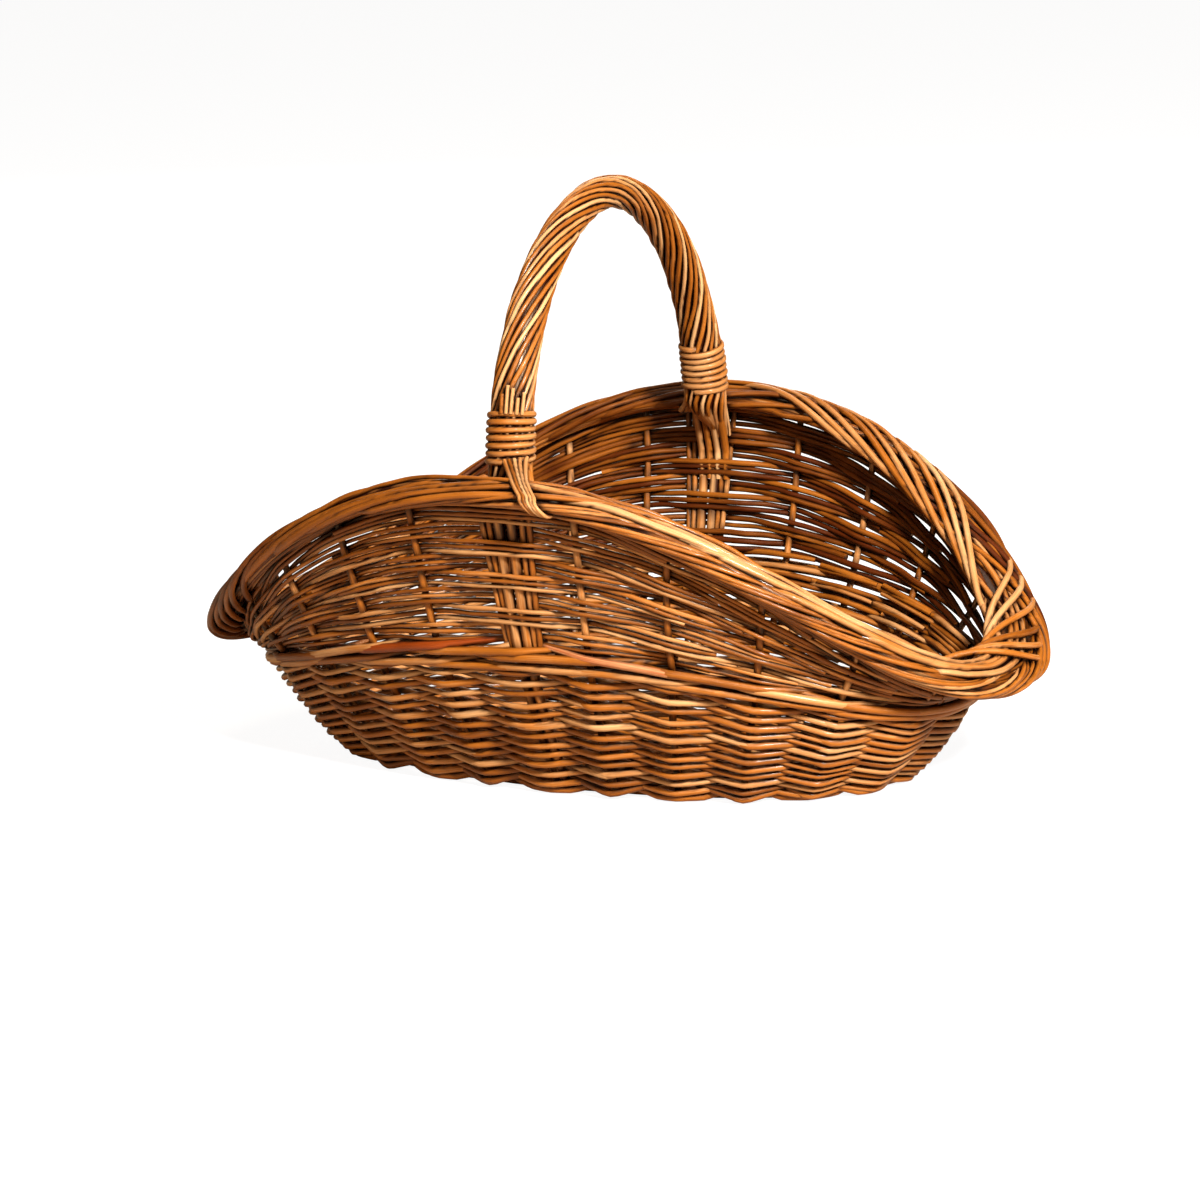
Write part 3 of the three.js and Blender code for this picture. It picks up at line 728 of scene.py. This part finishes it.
def border_crossings(rods, wall, rng, middle_stake, groups):
    """Groups of short rods that cross the strands, from the inner edge to cut ends near the outer one."""
    inner, outer, fan = 222, 46, 6  # angles round the border
    group_pitch, rod_pitch, short_span, long_span = 1.05, 0.26, 1.5, 2.3  # in stakes
    arch, rise, tuck = 0.0030, 0.0012, 0.003
    for group in groups:
        span = short_span if group < 1 else long_span
        for beside in range(rods.border_group):
            first = middle_stake + group * group_pitch + beside * rod_pitch + rng.uniform(-0.03, 0.03)
            run = np.linspace(0, 1, 48)
            places = first + span * run
            around = np.radians(inner - (inner - outer - fan * beside) * run ** 0.9)
            around = around + wander(rng, places, 0.03)
            thick = rods.border_rod * rng.uniform(0.95, 1.12)
            lift = -thick / 2 + arch * np.sin(np.pi * run) + rise * run - tuck * smooth(1 - run / 0.2)
            points = wall.border_point(places / rods.stakes, around, lift)
            yield tapered(points, thick, thick * 0.86)


def border_heart(rods, wall):
    """Rods inside the border, which close its middle."""
    heart_rods, deep, half_thick, twist = 9, 0.0068, 0.0029, 0.35
    places = np.linspace(0, rods.stakes * 1.01, rods.stakes * 6)
    turns = [2 * np.pi * index / heart_rods + places * twist for index in range(heart_rods)]
    return [Rod(wall.border_point(places / rods.stakes, around, -deep), half_thick) for around in turns]


def stake_rods(rods, wall, rng):
    """The stakes, from just above the ground up into the border; the handle takes two of their places."""
    points, bottom, into_border = 26, 0.03, 0.10
    for stake in range(rods.stakes):
        if is_handle_place(stake, rods):
            continue
        place = np.full(points, stake / rods.stakes) + wander(rng, np.linspace(0, 3, points), 0.0006)
        level = np.linspace(bottom, wall.top_level(place[:1])[0] + into_border, points)
        thick = rods.stake * rng.uniform(0.94, 1.06)
        yield tapered(wall.point(place, level), thick, thick * 0.85)


HANDLE_LEAN = 0.0075
LINERS = (  # place beside the handle's middle, and thickness; the two middle ones are the bow's
    (-0.0125, 0.0032), (-0.0088, 0.0034), (-0.0036, 0.0056),
    (0.0032, 0.0056), (0.0092, 0.0036), (0.0128, 0.0034),
)


def liner_rods(rods, wall, rng, middle_stake):
    """The bow's end and the rods that stand beside it in the wall."""
    points, into_border = 20, 0.12
    for offset, wide in LINERS:
        spread = np.linspace(0.7, 1.0, points)
        place = middle_stake / rods.stakes + (HANDLE_LEAN + offset * spread) / wall.round
        bottom = 0.10 if abs(offset) < 0.004 else rng.uniform(0.95, 1.1)
        level = np.linspace(bottom, wall.top_level(place[-1:])[0] + into_border, points)
        yield tapered(wall.point(place, level), wide * 0.9, wide)


def turned_round(found, back):
    """Rods of the front foot, turned half round to the back foot if asked."""
    for rod in found if back else ():
        rod.points[:, :2] *= -1
    return found


def on_arch(arch, distance):
    return arch.point(np.array([distance]), np.array([0.0]), np.array([0.0]))[0]


def bow_ends(rods, wall, arch, middle_stake, back):
    """The bow's split ends, which leave the leg inside the border and go down into the wall."""
    foot = on_arch(arch, 0.002)
    pull = 0.014  # how stiffly an end leaves the wall and the leg
    lean, points, thin, thick = 0.004, 8, 0.0040, 0.0046
    for offset in (-0.0066, -0.0022, 0.0022, 0.0066):
        place = middle_stake / rods.stakes + np.full(points, (lean + offset) / wall.round)
        low = wall.point(place, np.linspace(1.50, 1.66, points), np.linspace(-0.0005, -0.003, points))
        leg = np.array([offset, foot[1], foot[2]])
        if back:
            leg[:2] *= -1
        # A cubic bend that starts in the wall's direction and comes upright to the leg
        part = np.linspace(0, 1, 16)[1:, None]
        climb = unit(low[-1] - low[-2]) * pull
        upright = np.array([0, 0, pull])
        bend = low[-1] * (2 * part ** 3 - 3 * part ** 2 + 1) + climb * (part ** 3 - 2 * part ** 2 + part)
        bend = bend + leg * (3 * part ** 2 - 2 * part ** 3) + upright * (part ** 3 - part ** 2)
        yield tapered(np.concatenate([low, bend]), thin, thick)


def bow_core(rods, arch):
    """The bow inside the roping."""
    past = 0.018
    distance = np.linspace(-past, arch.length + past, 70)
    middle = arch.point(distance, 0 * distance, 0 * distance)
    return [Rod(middle, arch.radius(distance) - rods.rope_rod * 1.05)]


def roping_rods(rods, arch, rng):
    """Rods laid round the bow from foot to foot."""
    past, points = 0.023, 132
    for index in range(rods.rope_rods):
        distance = np.linspace(-past, arch.length + past, points)
        around = 2 * np.pi * (index / rods.rope_rods + rods.rope_turns * distance / arch.length)
        around = around + wander(rng, distance * 40, 0.06)
        thick = rods.rope_rod * rng.uniform(0.92, 1.12)
        radius = arch.radius(distance) - thick / 2 + wander(rng, distance * 60, 0.0003)
        yield Rod(arch.point(distance, around, radius), thick / 2)


def binding(rods, arch, rng, back):
    """One rod wound round a foot of the handle, its ends tucked in."""
    turns = rods.binding_turns
    tail, tuck, above_foot = 0.06, 0.004, 0.0015
    steps = np.linspace(-tail, turns + tail, turns * 30)
    distance = rods.binding_rod + above_foot + np.clip(steps, 0, turns) * rods.binding_pitch
    around = np.pi / 2 + 2 * np.pi * steps
    inward = smooth(-steps / tail) + smooth((steps - turns) / tail)
    radius = arch.radius(distance) - rods.binding_rod * 0.06 - tuck * inward
    radius = radius + wander(rng, steps * 2, 0.00022)
    points = arch.point(distance, around, radius)
    return turned_round([Rod(points, rods.binding_rod / 2 * (1 + wander(rng, steps * 2, 0.06)))], back)


def stubs(arch):
    """Short cut ends of the roping that stand out above the front binding."""
    offsets = (-0.0046, -0.0024, -0.0002, 0.0022, 0.0046)
    bottom, tops = 0.0285, (0.0372, 0.0412, 0.0400, 0.0360, 0.0388)
    leg_radius, thick, thin, points = 0.0105, 0.0024, 0.0021, 10
    for offset, top in zip(offsets, tops):
        distance = np.linspace(bottom, top, points)
        around = -np.pi * 0.35 + offset / leg_radius + 0 * distance
        radius = arch.radius(distance) + np.linspace(0.0008, 0.0017, points)
        yield tapered(arch.point(distance, around, radius), thick, thin)


FRONT = 0.75  # share of the way round where the front foot stands


def tail_rods(wall, arch, back):
    """Ends of the roping under a binding: thin ones over the border outside, thick ones down inside."""
    found = []
    foot = on_arch(arch, 0.006)
    above, outside, inside = 0.003, 0.0112, 0.0100
    slant, flick = 0.021, 0.008  # how far the thin ones drift aside, evenly and then in a bend
    for offset in () if back else (0.0026, 0.0048, 0.0068, 0.0088, 0.0106):
        part = np.linspace(0, 1, 40)
        sweep = slant * np.minimum(part / 0.6, 1) + flick * smooth((part - 0.6) / 0.4)
        place = FRONT + (offset * (1 - 0.3 * part) + sweep) / wall.round
        lift = 0.0016 - 0.005 * smooth((part - 0.85) / 0.15)
        over = wall.border_point(place, np.radians(142 - 194 * part), lift)
        leg = np.array([offset, foot[1] - math.sqrt(outside ** 2 - offset ** 2), foot[2] + above])
        found.append(tapered(blend(over, leg, smooth(1 - part / 0.35)[:, None]), 0.0026, 0.0018))
    for index, offset in enumerate((-0.0088, -0.0060, -0.0032, -0.0004, 0.0030, 0.0058, 0.0086)):
        part = np.linspace(0, 1, 30)
        slide = 0.016 if index < 4 else 0.011
        start = np.array([offset, foot[1] + math.sqrt(inside ** 2 - offset ** 2), foot[2] + above])
        place = FRONT + (offset + slide * part) / wall.round
        lift = 0.0022 - 0.006 * smooth((part - 0.8) / 0.2)
        end = wall.border_point(place, np.radians(150 + 66 * part), lift)
        found.append(tapered(blend(start, end, smooth(part / 0.6)[:, None]), 0.0034, 0.0028))
    return turned_round(found, back)


STICK_PITCH = 0.042  # from one short base stick to the next
STICK_HEIGHT = 0.73  # middle of the sticks, as a share of the base's thickness


def oval_half(place, length, width, roundness):
    """Half the base's width at a place along its length."""
    return width / 2 * (1 - (abs(place) * 2 / length) ** roundness) ** (1 / roundness)


def base_sticks(shape):
    """Long sticks pushed through split short ones."""
    length, width, roundness = shape.base_length, shape.base_width, shape.roundness
    height = shape.base_thickness * STICK_HEIGHT
    long_gap, short_gap = 0.004, 0.003  # from a stick's end to the edge of the base
    long_radius, short_radius = 0.0020, 0.0032
    for aside in (-0.015, 0.0, 0.015):
        half = oval_half(aside, width, length, roundness) - long_gap
        x = np.linspace(-half, half, 12)
        yield Rod(np.stack([x, 0 * x + aside, 0 * x + height], -1), long_radius)
    for along in (step * STICK_PITCH for step in range(-2, 3)):
        half = oval_half(along, length, width, roundness) - short_gap
        y = np.linspace(-half, half, 12)
        yield Rod(np.stack([0 * y + along, y, 0 * y + height], -1), short_radius)


def base_rounds(wall, shape, rng):
    """Rounds of weaving over and under the sticks, from the middle out to the edge."""
    pitch, swing, lowest, radius = 0.0031, 0.0026, 0.0016, 0.0015
    reach = shape.base_width / 2 + 0.001
    rounds = round(reach / pitch)
    stem = (shape.base_length - shape.base_width) / 2
    for index in range(rounds):
        grow = reach / rounds * (index + 0.5)
        part = np.linspace(0, 1.01, 260)
        angle = part * 2 * np.pi
        outline = wall.oval(stem + grow, grow, angle, 0)
        sticks = np.where(np.abs(outline[:, 0]) < stem, outline[:, 0] / STICK_PITCH, 7 * angle / np.pi)
        over = np.cos(np.pi * (sticks + index))
        height = shape.base_thickness * STICK_HEIGHT + swing * np.sign(over) * np.abs(over) ** 0.6
        outline[:, 2] = np.maximum(height + wander(rng, part * 20, 0.0002), lowest)
        yield Rod(outline, radius * rng.uniform(0.9, 1.1))


def shapes(context):
    scene = context.scene
    wall = Wall(scene.basket_shape)
    return scene.basket_shape, scene.basket_rods, wall, Arch(scene.basket_shape, wall)


def chance(context, number):
    """Each piece has its own seeded chances, so that one can change without the others."""
    return np.random.default_rng(context.scene.basket_rods.seed * 100 + number)


def nodes_named(start):
    return [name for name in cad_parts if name.startswith(start)]


class BASKET_OT_base(bpy.types.Operator):
    """Weave the oval base on its sticks"""

    bl_idname = "basket.base"
    bl_label = "Base"

    def execute(self, context):
        shape, _, wall, _ = shapes(context)
        rounds = base_rounds(wall, shape, chance(context, 1))
        # The base rounds take a darker finish: painted shade under the basket
        make_piece("base_rounds", rounds, "willow_painted_shade_under", ["base_weave"])
        names = nodes_named("base_long") + nodes_named("base_short")
        make_piece("base_sticks", base_sticks(shape), "willow_stake", names, sides=3)
        return {"FINISHED"}


class BASKET_OT_stakes(bpy.types.Operator):
    """Stand the stakes round the basket"""

    bl_idname = "basket.stakes"
    bl_label = "Stakes"

    def execute(self, context):
        _, rods, wall, _ = shapes(context)
        found = stake_rods(rods, wall, chance(context, 2))
        make_piece("stakes", found, "willow_stake", nodes_named("stake_"))
        return {"FINISHED"}


class BASKET_OT_foot_band(bpy.types.Operator):
    """Wind the thick rods where the stakes turn up; their dark finish is painted shade"""

    bl_idname = "basket.foot_band"
    bl_label = "Foot band"

    def execute(self, context):
        _, rods, wall, _ = shapes(context)
        rng = chance(context, 3)
        # Both foot pieces take darker finishes: painted shade at the bottom of the wall and under it
        make_piece("foot_band", foot_rows(rods, wall, rng), "willow_painted_shade_deep", ["upsett_wale"])
        make_piece("foot_ring", foot_ring(rods, wall, rng), "willow_painted_shade_under", ["upsett_wale"])
        return {"FINISHED"}


class BASKET_OT_lower_wall(bpy.types.Operator):
    """Weave the lower wall in single rows"""

    bl_idname = "basket.lower_wall"
    bl_label = "Lower wall"

    def execute(self, context):
        _, rods, wall, _ = shapes(context)
        found = list(lower_rows(rods, wall, chance(context, 4)))
        half = len(found) // 2
        for name, part in (("below", found[:half]), ("above", found[half:])):
            make_piece(f"lower_rows_{name}", part, "willow_brown", ["lower_weave"])
        return {"FINISHED"}


class BASKET_OT_waist_band(bpy.types.Operator):
    """Wind the thick rods of the waist"""

    bl_idname = "basket.waist_band"
    bl_label = "Waist band"

    def execute(self, context):
        _, rods, wall, _ = shapes(context)
        rng = chance(context, 5)
        middle = 0.985
        found, _ = wale(rods, wall, rng, 1 - rods.wale_share, middle, rods.wale_rod * 0.9)
        more, reddish = wale(rods, wall, rng, middle, 1 + rods.wale_share, rods.wale_rod, red=(15, 18))
        make_piece("waist_band", found + more, "willow_brown", ["waist_wale"])
        make_piece("waist_band_red", reddish, "willow_red", ["waist_wale"])
        return {"FINISHED"}


class BASKET_OT_upper_wall(bpy.types.Operator):
    """Weave the upper wall in bands of rods on both sides"""

    bl_idname = "basket.upper_wall"
    bl_label = "Upper wall"

    def execute(self, context):
        _, rods, wall, _ = shapes(context)
        # The back bands take a darker finish: painted shade for the far wall, whose inside lies in shade
        sides = (("back", 1, "willow_painted_shade_inside", 1.24), ("front", 3, "willow_brown", 1))
        for side, quarter, look, thicker in sides:
            middle = quarter * rods.stakes // 4
            bands = upper_bands(rods, wall, chance(context, 6 + middle), middle, thicker)
            for height, part in (("low", bands[:6]), ("high", bands[6:])):
                make_piece(f"upper_bands_{side}_{height}", sum(part, []), look, ["upper_weave"])
        return {"FINISHED"}


class BASKET_OT_border(bpy.types.Operator):
    """Roll the border over the ends of the stakes"""

    bl_idname = "basket.border"
    bl_label = "Border"

    def execute(self, context):
        _, rods, wall, _ = shapes(context)
        rng = chance(context, 40)

        replaced = ["border"]
        # The heart and the lanes lie under the strands and take darker finishes: painted shade seen in the
        # gaps
        make_piece("border_heart", border_heart(rods, wall), "willow_painted_shade_under", replaced, sides=1)
        lanes = list(border_lanes(rods, wall, rng))
        for index, letter in enumerate("abc"):
            make_piece(f"border_lanes_{letter}", lanes[index::3], "willow_painted_shade_deep", replaced)
        strands, painted_light_strands = border_strands(rods, wall, rng)
        # Most strands take a darker finish, painted shade; the front-right ones take a lighter finish
        # below, painted light
        for index, letter in enumerate("ab"):
            make_piece(f"border_strands_{letter}", strands[index::2], "willow_painted_shade_border", replaced)
        feeders = border_feeders(rods, wall, rng, 16.6, 22.6)
        make_piece("border_feeders", feeders, "willow_brown", replaced)
        # Painted light: a lighter finish for the strands on the key lamp's side
        make_piece("border_strands_painted_light", painted_light_strands, "willow_painted_light", replaced)
        for end, middle, groups in (("right", 0, range(-1, 4)), ("left", rods.stakes // 2, range(-3, 0))):
            crossings = border_crossings(rods, wall, rng, middle, groups)
            make_piece(f"border_crossings_{end}", crossings, "willow_tan", replaced)
        return {"FINISHED"}


class BASKET_OT_handle(bpy.types.Operator):
    """Lay the roping round the bow and wind a binding round each foot"""

    bl_idname = "basket.handle"
    bl_label = "Handle"

    def execute(self, context):
        _, rods, wall, arch = shapes(context)
        golden, slot, stake, stake_slot = "willow_golden", "handle_willow", "willow_stake", "stake_willow"
        roping = roping_rods(rods, arch, chance(context, 50))
        make_piece("handle_roping_rods", roping, golden, ["handle_roping"], sides=3)
        # The core inside the roping takes a darker finish: painted shade seen in the grooves
        make_piece("handle_core", bow_core(rods, arch), "willow_painted_shade_under", ["handle_bow"], sides=4)
        make_piece("handle_stubs", stubs(arch), golden, ["handle_roping"])
        for side, quarter in (("front", 3), ("back", 1)):
            back = side == "back"
            rng = chance(context, 51 + back)
            wound = binding(rods, arch, rng, back)
            make_piece(f"binding_{side}", wound, golden, [f"handle_binding_{side}"], sides=3)
            tails = tail_rods(wall, arch, back)
            make_piece(f"tails_{side}", tails, golden, nodes_named(f"handle_tail_{side}"))
            middle = quarter * rods.stakes // 4
            liners = liner_rods(rods, wall, rng, middle)
            names = nodes_named(f"handle_liner_{side}") + ["handle_bow"]
            make_piece(f"liners_{side}", liners, stake, names)
            ends = bow_ends(rods, wall, arch, middle, back)
            make_piece(f"bow_ends_{side}", ends, stake, ["handle_bow"])
        return {"FINISHED"}


class BASKET_OT_paint_shade(bpy.types.Operator):
    """Mark how deep each point lies among the other rods, which darkens it as painted shade"""

    bl_idname = "basket.crevices"
    bl_label = "Crevices"

    CELL, MARGIN, FILL_STEP = 0.001, 0.012, 0.0008
    # How far it looks for other rods, and how much one at that distance hides
    LOOKS = ((0.0012, 1.0), (0.0024, 0.9), (0.0040, 0.6), (0.0065, 0.35), (0.0095, 0.2))
    SLANT, GAIN, START = 0.9, 3.1, 0.12

    def execute(self, context):
        filled = np.concatenate([rod.filling(self.FILL_STEP) for rod in RODS])
        low = filled.min(axis=0) - self.MARGIN
        shape = np.ceil((filled.max(axis=0) + self.MARGIN - low) / self.CELL).astype(int) + 1
        full = np.zeros(shape, bool)
        full[tuple(((filled - low) / self.CELL).astype(int).T)] = True
        for name in WOVEN:
            mesh = context.scene.objects[name].data
            spots, outward = np.empty((2, len(mesh.vertices), 3), np.float32)
            mesh.vertices.foreach_get("co", spots.ravel())
            mesh.vertices.foreach_get("normal", outward.ravel())
            aside = np.cross(outward, (0.31, 0.27, 0.91))
            aside = aside / (np.linalg.norm(aside, axis=1, keepdims=True) + 1e-6)
            other = np.cross(outward, aside)
            occlusion = np.zeros(len(spots))
            for tilt in (0 * aside, aside, -aside, other, -other):
                way = unit(outward + self.SLANT * tilt + 1e-6)
                hidden = np.zeros(len(spots))
                for reach, part in self.LOOKS:
                    cells = ((spots + way * reach - low) / self.CELL).astype(int)
                    blocked = full[tuple(np.clip(cells, 0, shape - 1).T)]
                    hidden = np.maximum(hidden, part * blocked)
                occlusion += hidden / 5
            # The attribute holds painted shade, a rough occlusion of each point by the other rods
            mark = mesh.attributes.new("painted_shade", "FLOAT", "POINT")
            mark.data.foreach_set("value", np.clip(occlusion * self.GAIN - self.START, 0, 1))
        return {"FINISHED"}


# The camera stands where it shows the basket as the photograph does, in the photograph's square frame
FRAME_PIXELS = 1200
CAMERA_AZIMUTH = 27.4
CAMERA_ELEVATION = 11.1
CAMERA_DISTANCE = 2.2
CAMERA_ROLL = 2.1
PIXELS_PER_METRE = 1965.0
AIM_HEIGHT = 0.14
AIM_PIXEL = (614.4, 487.3)
SENSOR = 36


def place_camera():
    camera = bpy.data.objects.new("camera", bpy.data.cameras.new("camera"))
    bpy.context.scene.collection.objects.link(camera)
    turn, lift, roll = (math.radians(v) for v in (CAMERA_AZIMUTH, CAMERA_ELEVATION, CAMERA_ROLL))
    back = Vector((math.sin(turn) * math.cos(lift), -math.cos(turn) * math.cos(lift), math.sin(lift)))
    level = Vector((math.cos(turn), math.sin(turn), 0))
    upright = back.cross(level)
    right = level * math.cos(roll) - upright * math.sin(roll)
    up = level * math.sin(roll) + upright * math.cos(roll)
    stand = Matrix((right, up, back)).transposed().to_4x4()
    stand.translation = Vector((0, 0, AIM_HEIGHT)) + back * CAMERA_DISTANCE
    camera.matrix_world = stand
    camera.data.sensor_width = SENSOR
    camera.data.lens = SENSOR * PIXELS_PER_METRE * CAMERA_DISTANCE / FRAME_PIXELS
    camera.data.shift_x = (FRAME_PIXELS / 2 - AIM_PIXEL[0]) / FRAME_PIXELS
    camera.data.shift_y = (AIM_PIXEL[1] - FRAME_PIXELS / 2) / FRAME_PIXELS
    camera.data.clip_end = 50
    bpy.context.scene.camera = camera


def pale_floor():
    """A pale material that shows nearly white to the camera and keeps the basket's shadow."""
    material = bpy.data.materials.new("pale_floor")
    material.use_nodes = True
    tree = material.node_tree
    tree.nodes.clear()
    plain = add_node(tree, "BsdfDiffuse", {"Color": (0.42, 0.32, 0.22, 1)})
    glow = add_node(tree, "Emission", {"Strength": 0.93})
    shadow = add_node(tree, "BsdfDiffuse", {"Color": (0.26, 0.26, 0.26, 1)})
    shown = add_node(tree, "AddShader", {0: glow, 1: shadow})
    seen = add_node(tree, "LightPath", {}, "Is Camera Ray")
    mix = add_node(tree, "MixShader", {"Fac": seen, 1: plain, 2: shown})
    plug(tree.nodes.new("ShaderNodeOutputMaterial"), {"Surface": mix})
    return material


def studio_world():
    """White behind the floor, and a dim warm light from all round."""
    world = bpy.data.worlds.new("studio")
    world.use_nodes = True
    tree = world.node_tree
    seen = add_node(tree, "LightPath", {}, "Is Camera Ray")
    dim, white = (0.065, 0.045, 0.026, 1), (1.0, 0.99, 0.97, 1)
    sky = add_node(tree, "MixRGB", {"Fac": seen, "Color1": dim, "Color2": white}, "Color")
    plug(tree.nodes["Background"], {"Color": sky})
    return world


FLOOR_SIZE, FLOOR_HEIGHT = 30, -0.0004
LAMP_AIM = Vector((0, 0, 0.12))
LAMPS = (  # name, place, size, watts, colour
    ("key", (1.50, -1.06, 1.32), 0.3, 142, (0.97, 0.98, 0.98)),
    ("front", (-0.2, -2.1, 0.9), 0.9, 7, (1.0, 0.86, 0.70)),
    ("top", (-0.2, 0.5, 1.9), 0.8, 10, (1.0, 0.88, 0.74)),
    ("back", (-1.0, 2.2, 0.8), 0.9, 9, (1.0, 0.88, 0.74)),
)


def add_lamp(name, place, width, watts, tint):
    lamp = bpy.data.objects.new(name, bpy.data.lights.new(name, "AREA"))
    bpy.context.scene.collection.objects.link(lamp)
    lamp.data.size = width
    lamp.data.energy = watts
    lamp.data.color = tint
    lamp.location = place
    lamp.rotation_euler = (LAMP_AIM - lamp.location).to_track_quat("-Z", "Y").to_euler()


class BASKET_OT_stage(bpy.types.Operator):
    """Set the pale floor, the soft light and the camera"""

    bl_idname = "basket.stage"
    bl_label = "Stage"

    def execute(self, context):
        scene = context.scene
        bpy.ops.object.select_all(action="DESELECT")
        place = (0, 0, FLOOR_HEIGHT)
        bpy.ops.mesh.primitive_grid_add(x_subdivisions=3, y_subdivisions=3, size=FLOOR_SIZE, location=place)
        floor = context.object
        floor.name = "floor"
        bpy.ops.object.transform_apply(location=True)
        floor.data.materials.append(pale_floor())
        scene.world = studio_world()
        for lamp in LAMPS:
            add_lamp(*lamp)
        place_camera()
        scene.view_settings.view_transform = "Standard"
        return {"FINISHED"}


class BASKET_PT_panel(bpy.types.Panel):
    """Lists the sizes, the finishes and the steps of the basket"""

    bl_label = "Harvest basket"
    bl_idname = "BASKET_PT_panel"
    bl_space_type = "VIEW_3D"
    bl_region_type = "UI"
    bl_category = "Basket"

    def draw(self, context):
        scene = context.scene
        for group in (scene.basket_shape, scene.basket_rods, scene.basket_colours):
            box = self.layout.box()
            for name in group.bl_rna.properties.keys():
                if name not in ("rna_type", "name"):
                    box.prop(group, name)
        for step in STEPS:
            self.layout.operator(step.bl_idname)


STEPS = (
    BASKET_OT_base, BASKET_OT_stakes, BASKET_OT_foot_band, BASKET_OT_lower_wall, BASKET_OT_waist_band,
    BASKET_OT_upper_wall, BASKET_OT_border, BASKET_OT_handle, BASKET_OT_paint_shade, BASKET_OT_stage,
)
CLASSES = (BasketShape, BasketRods, BasketColours, *STEPS, BASKET_PT_panel)


def register():
    for each in CLASSES:
        bpy.utils.register_class(each)
    bpy.types.Scene.basket_shape = PointerProperty(type=BasketShape)
    bpy.types.Scene.basket_rods = PointerProperty(type=BasketRods)
    bpy.types.Scene.basket_colours = PointerProperty(type=BasketColours)


def unregister():
    del bpy.types.Scene.basket_colours
    del bpy.types.Scene.basket_rods
    del bpy.types.Scene.basket_shape
    for each in reversed(CLASSES):
        bpy.utils.unregister_class(each)


def main():
    register()
    bpy.ops.basket.base()
    bpy.ops.basket.stakes()
    bpy.ops.basket.foot_band()
    bpy.ops.basket.lower_wall()
    bpy.ops.basket.waist_band()
    bpy.ops.basket.upper_wall()
    bpy.ops.basket.border()
    bpy.ops.basket.handle()
    bpy.ops.basket.crevices()
    bpy.ops.basket.stage()


if __name__ == "__main__":
    main()
